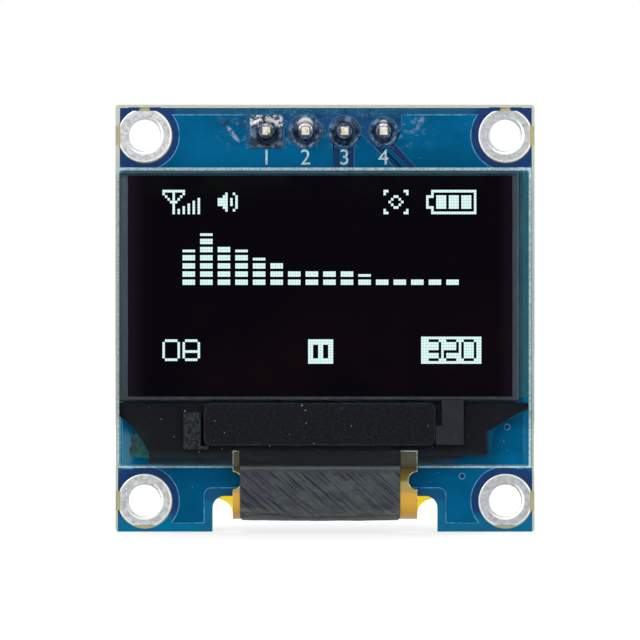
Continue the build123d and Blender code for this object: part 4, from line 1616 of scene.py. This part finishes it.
def tape_mesh(depth):
    """The tape as a closed strip along the flex cable's bend, with scratches in its outer face."""
    outer_radius, thickness = (tape_high.y - tape_low.y) / 2, 0.08
    middle_y = (tape_high.y + tape_low.y) / 2
    bend_z = tape_low.z + outer_radius
    top, rear_top = tape_high.z, bend_z + 0.35
    straight, half_turn, rear = top - bend_z, math.pi * outer_radius, rear_top - bend_z
    total = straight + half_turn + rear
    columns, rows = 200, 120
    centre_x, half = (tape_low.x + tape_high.x) / 2, (tape_high.x - tape_low.x) / 2

    def on_path(run, sink):
        """Y and Z of a point on the tape's path, some way in from its outer face."""
        radius = outer_radius - sink
        if run < straight:
            return middle_y - radius, top - run
        if run < straight + half_turn:
            angle = math.pi * (run - straight) / half_turn
            return middle_y - radius * math.cos(angle), bend_z - radius * math.sin(angle)
        return middle_y + radius, bend_z + run - straight - half_turn

    bm = bmesh.new()
    scratch = bm.verts.layers.float.new("groove")
    rims = []
    for inner in (False, True):
        grid = []
        for r in range(rows + 1):
            run = total * r / rows
            line = []
            for c in range(columns + 1):
                across = 2 * half * c / columns
                deep = groove(across, run)
                border = min(c, columns - c, r, rows - r)
                soft = 0.012 if border == 0 else 0.0
                y, z = on_path(run, thickness if inner else depth * deep * min(border / 2, 1) + soft)
                low_down = math.exp(-(((z - tape_low.z) / 0.5) ** 2))
                slack = 0.05 * (1 - (across / half - 1) ** 2) + 0.025 * noise.noise((across * 0.7, 0, 3))
                z -= slack * low_down * (0 if inner else 1)
                shrink = 1 - 0.022 * math.exp(-(((z - tape_low.z) / 0.12) ** 2))
                vertex = point(bm, centre_x + (across - half) * shrink, y, z)
                vertex[scratch] = deep
                line.append(vertex)
            grid.append(line)
        skin(bm, grid)
        right, left = ([line[side] for line in grid[1:-1]] for side in (-1, 0))
        rims.append(grid[0] + right + grid[-1][::-1] + left[::-1])
    skin(bm, rims, closed=True)
    return close_mesh(bm, smooth=True)


class MODULE_OT_flex(bpy.types.Operator):
    """The flex cable with its copper strips, and the brushed tape round its bend"""

    bl_idname = "display_module.flex"
    bl_label = "Flex cable"

    def execute(self, context):
        look = looks()
        dress(flex_finish(look.flex), "flex_cable")
        foot, narrowing = solder_low.z + 0.15, 0.6
        ends = [(x, x * narrowing) for x in finger_places()]
        routes = [[(x, foot), (x, -9.5), (narrow, -10.9), (narrow, -11.5)] for x, narrow in ends]
        mesh = layer(BACK, flex_high.y, 0.014, strips(routes, 0.17))
        piece("flex_copper", mesh, "flex_film", flex_copper_finish(look.metal))
        # The neck's edges get thin strips that carry a painted highlight.
        mesh = layer(FRONT, flex_low.y, 0.003, strips(neck_edges(), 0.05))
        piece("neck_edge", mesh, "flex_film", neck_edge_finish())
        tape = tape_mesh(look.flex.groove_depth / MM)
        piece("brushed_tape", tape, "bend_tape_film", tape_finish(look.flex), replaced=["bend_tape"])
        return {"FINISHED"}


class MODULE_OT_rear(bpy.types.Operator):
    """Header body, regulator and the chip components' bodies"""

    bl_idname = "display_module.rear"
    bl_label = "Rear parts"

    def execute(self, context):
        dress(plain_finish("header_plastic", "#0C0C0D", "#151516", 5.0, 0.5, 0.012), "header_body")
        dress(plain_finish("package_plastic", "#141416", "#1E1E20", 7.0, 0.55, 0.02), "regulator_body")
        fired = plain_finish("capacitor_ceramic", "#9A7C55", "#86683F", 4.0, 0.45, 0.01)
        dress(fired, *series("capacitor_{}_body", 6))
        dress(resistor_finish(), *series("resistor_{}_body", 7))
        return {"FINISHED"}


class MODULE_OT_stage(bpy.types.Operator):
    """Pale floor, soft lamps, white world and the camera"""

    bl_idname = "display_module.stage"
    bl_label = "Stage"

    def execute(self, context):
        look = looks().stage
        floor_object()
        white_world(look.world_level)
        lamp("key_lamp", (-0.16, -0.26, 0.2), 0.2, look.key_power)
        lamp("fill_lamp", (0.2, -0.24, 0.08), 0.22, look.key_power * 0.5)
        lamp("rear_lamp", (0.12, 0.28, 0.2), 0.24, look.key_power)
        camera = bpy.data.cameras.new("camera")
        camera.sensor_width = 36
        camera.lens = camera.sensor_width * look.camera_distance / look.view_width
        camera.clip_start, camera.clip_end = 0.01, 10
        obj = bpy.data.objects.new("camera", camera)
        context.scene.collection.objects.link(obj)
        place = Vector((-0.326 * MM, -look.camera_distance, -0.124 * MM))
        obj.matrix_world = Matrix.Translation(place) @ Matrix.Rotation(math.pi / 2, 4, "X")
        context.scene.camera = obj
        context.scene.view_settings.view_transform = "Standard"
        return {"FINISHED"}


def floor_object():
    """A wide pale floor that looks white and keeps the module's shadow. Its own light grows far away."""
    finish = Finish("pale_floor", (0.86, 0.86, 0.86), roughness=0.9, gloss=0.0)
    x, y, _ = finish.axes
    away = x.hypot(y).step(60.0, 300.0)
    finish.set("Emission Color", (1, 1, 1))
    finish.set("Emission Strength", finish.seen() * (0.34 + away * 0.3))
    bm = bmesh.new()
    bmesh.ops.create_grid(bm, x_segments=8, y_segments=8, size=2.0)
    bm.transform(Matrix.Translation((0, 0, board_low.z * MM - 0.00002)))
    mesh = bpy.data.meshes.new("floor")
    bm.to_mesh(mesh)
    bm.free()
    mesh.materials.append(finish.material)
    obj = bpy.data.objects.new("floor", mesh)
    bpy.context.scene.collection.objects.link(obj)


def white_world(level):
    """White where it is seen, straight or in a reflection, and a plain grey light elsewhere."""
    world = bpy.data.worlds.new("white_world")
    bpy.context.scene.world = world
    world.use_nodes = True
    nodes = Nodes(world.node_tree)
    background = world.node_tree.nodes["Background"].inputs
    nodes.put(background["Color"], (1, 1, 1))
    strength = nodes.level("MapRange", {"Value": nodes.seen(), "To Min": level, "To Max": 1})
    nodes.put(background["Strength"], strength)


def lamp(name, place, size, power):
    """A large square lamp that looks at the module."""
    light = bpy.data.lights.new(name, "AREA")
    light.size = size
    light.energy = power
    obj = bpy.data.objects.new(name, light)
    bpy.context.scene.collection.objects.link(obj)
    place = Vector(place)
    obj.matrix_world = Matrix.Translation(place) @ (-place).to_track_quat("-Z", "Y").to_matrix().to_4x4()


class MODULE_PT_panel(bpy.types.Panel):
    bl_label = "Display Module"
    bl_idname = "MODULE_PT_panel"
    bl_space_type = "VIEW_3D"
    bl_region_type = "UI"
    bl_category = "Display Module"

    def draw(self, context):
        look = context.scene.display_module
        for group in (look.board, look.metal, look.panel, look.flex, look.stage):
            box = self.layout.box()
            for name in group.__annotations__:
                box.prop(group, name)
        for operator in OPERATORS:
            self.layout.operator(operator.bl_idname)


LOOKS = (BoardLook, MetalLook, PanelLook, FlexLook, StageLook, ModuleLook)
OPERATORS = (
    MODULE_OT_mask,
    MODULE_OT_print,
    MODULE_OT_pads,
    MODULE_OT_metal,
    MODULE_OT_screen,
    MODULE_OT_panel,
    MODULE_OT_flex,
    MODULE_OT_rear,
    MODULE_OT_stage,
)


def register():
    for kind in (*LOOKS, *OPERATORS, MODULE_PT_panel):
        bpy.utils.register_class(kind)
    bpy.types.Scene.display_module = PointerProperty(type=ModuleLook)


def unregister():
    del bpy.types.Scene.display_module
    for kind in reversed((*LOOKS, *OPERATORS, MODULE_PT_panel)):
        bpy.utils.unregister_class(kind)


def main():
    """Makes every piece in order."""
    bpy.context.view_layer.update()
    register()
    for operator in OPERATORS:
        getattr(bpy.ops.display_module, operator.bl_idname.split(".")[1])()


if __name__ == "__main__":
    main()
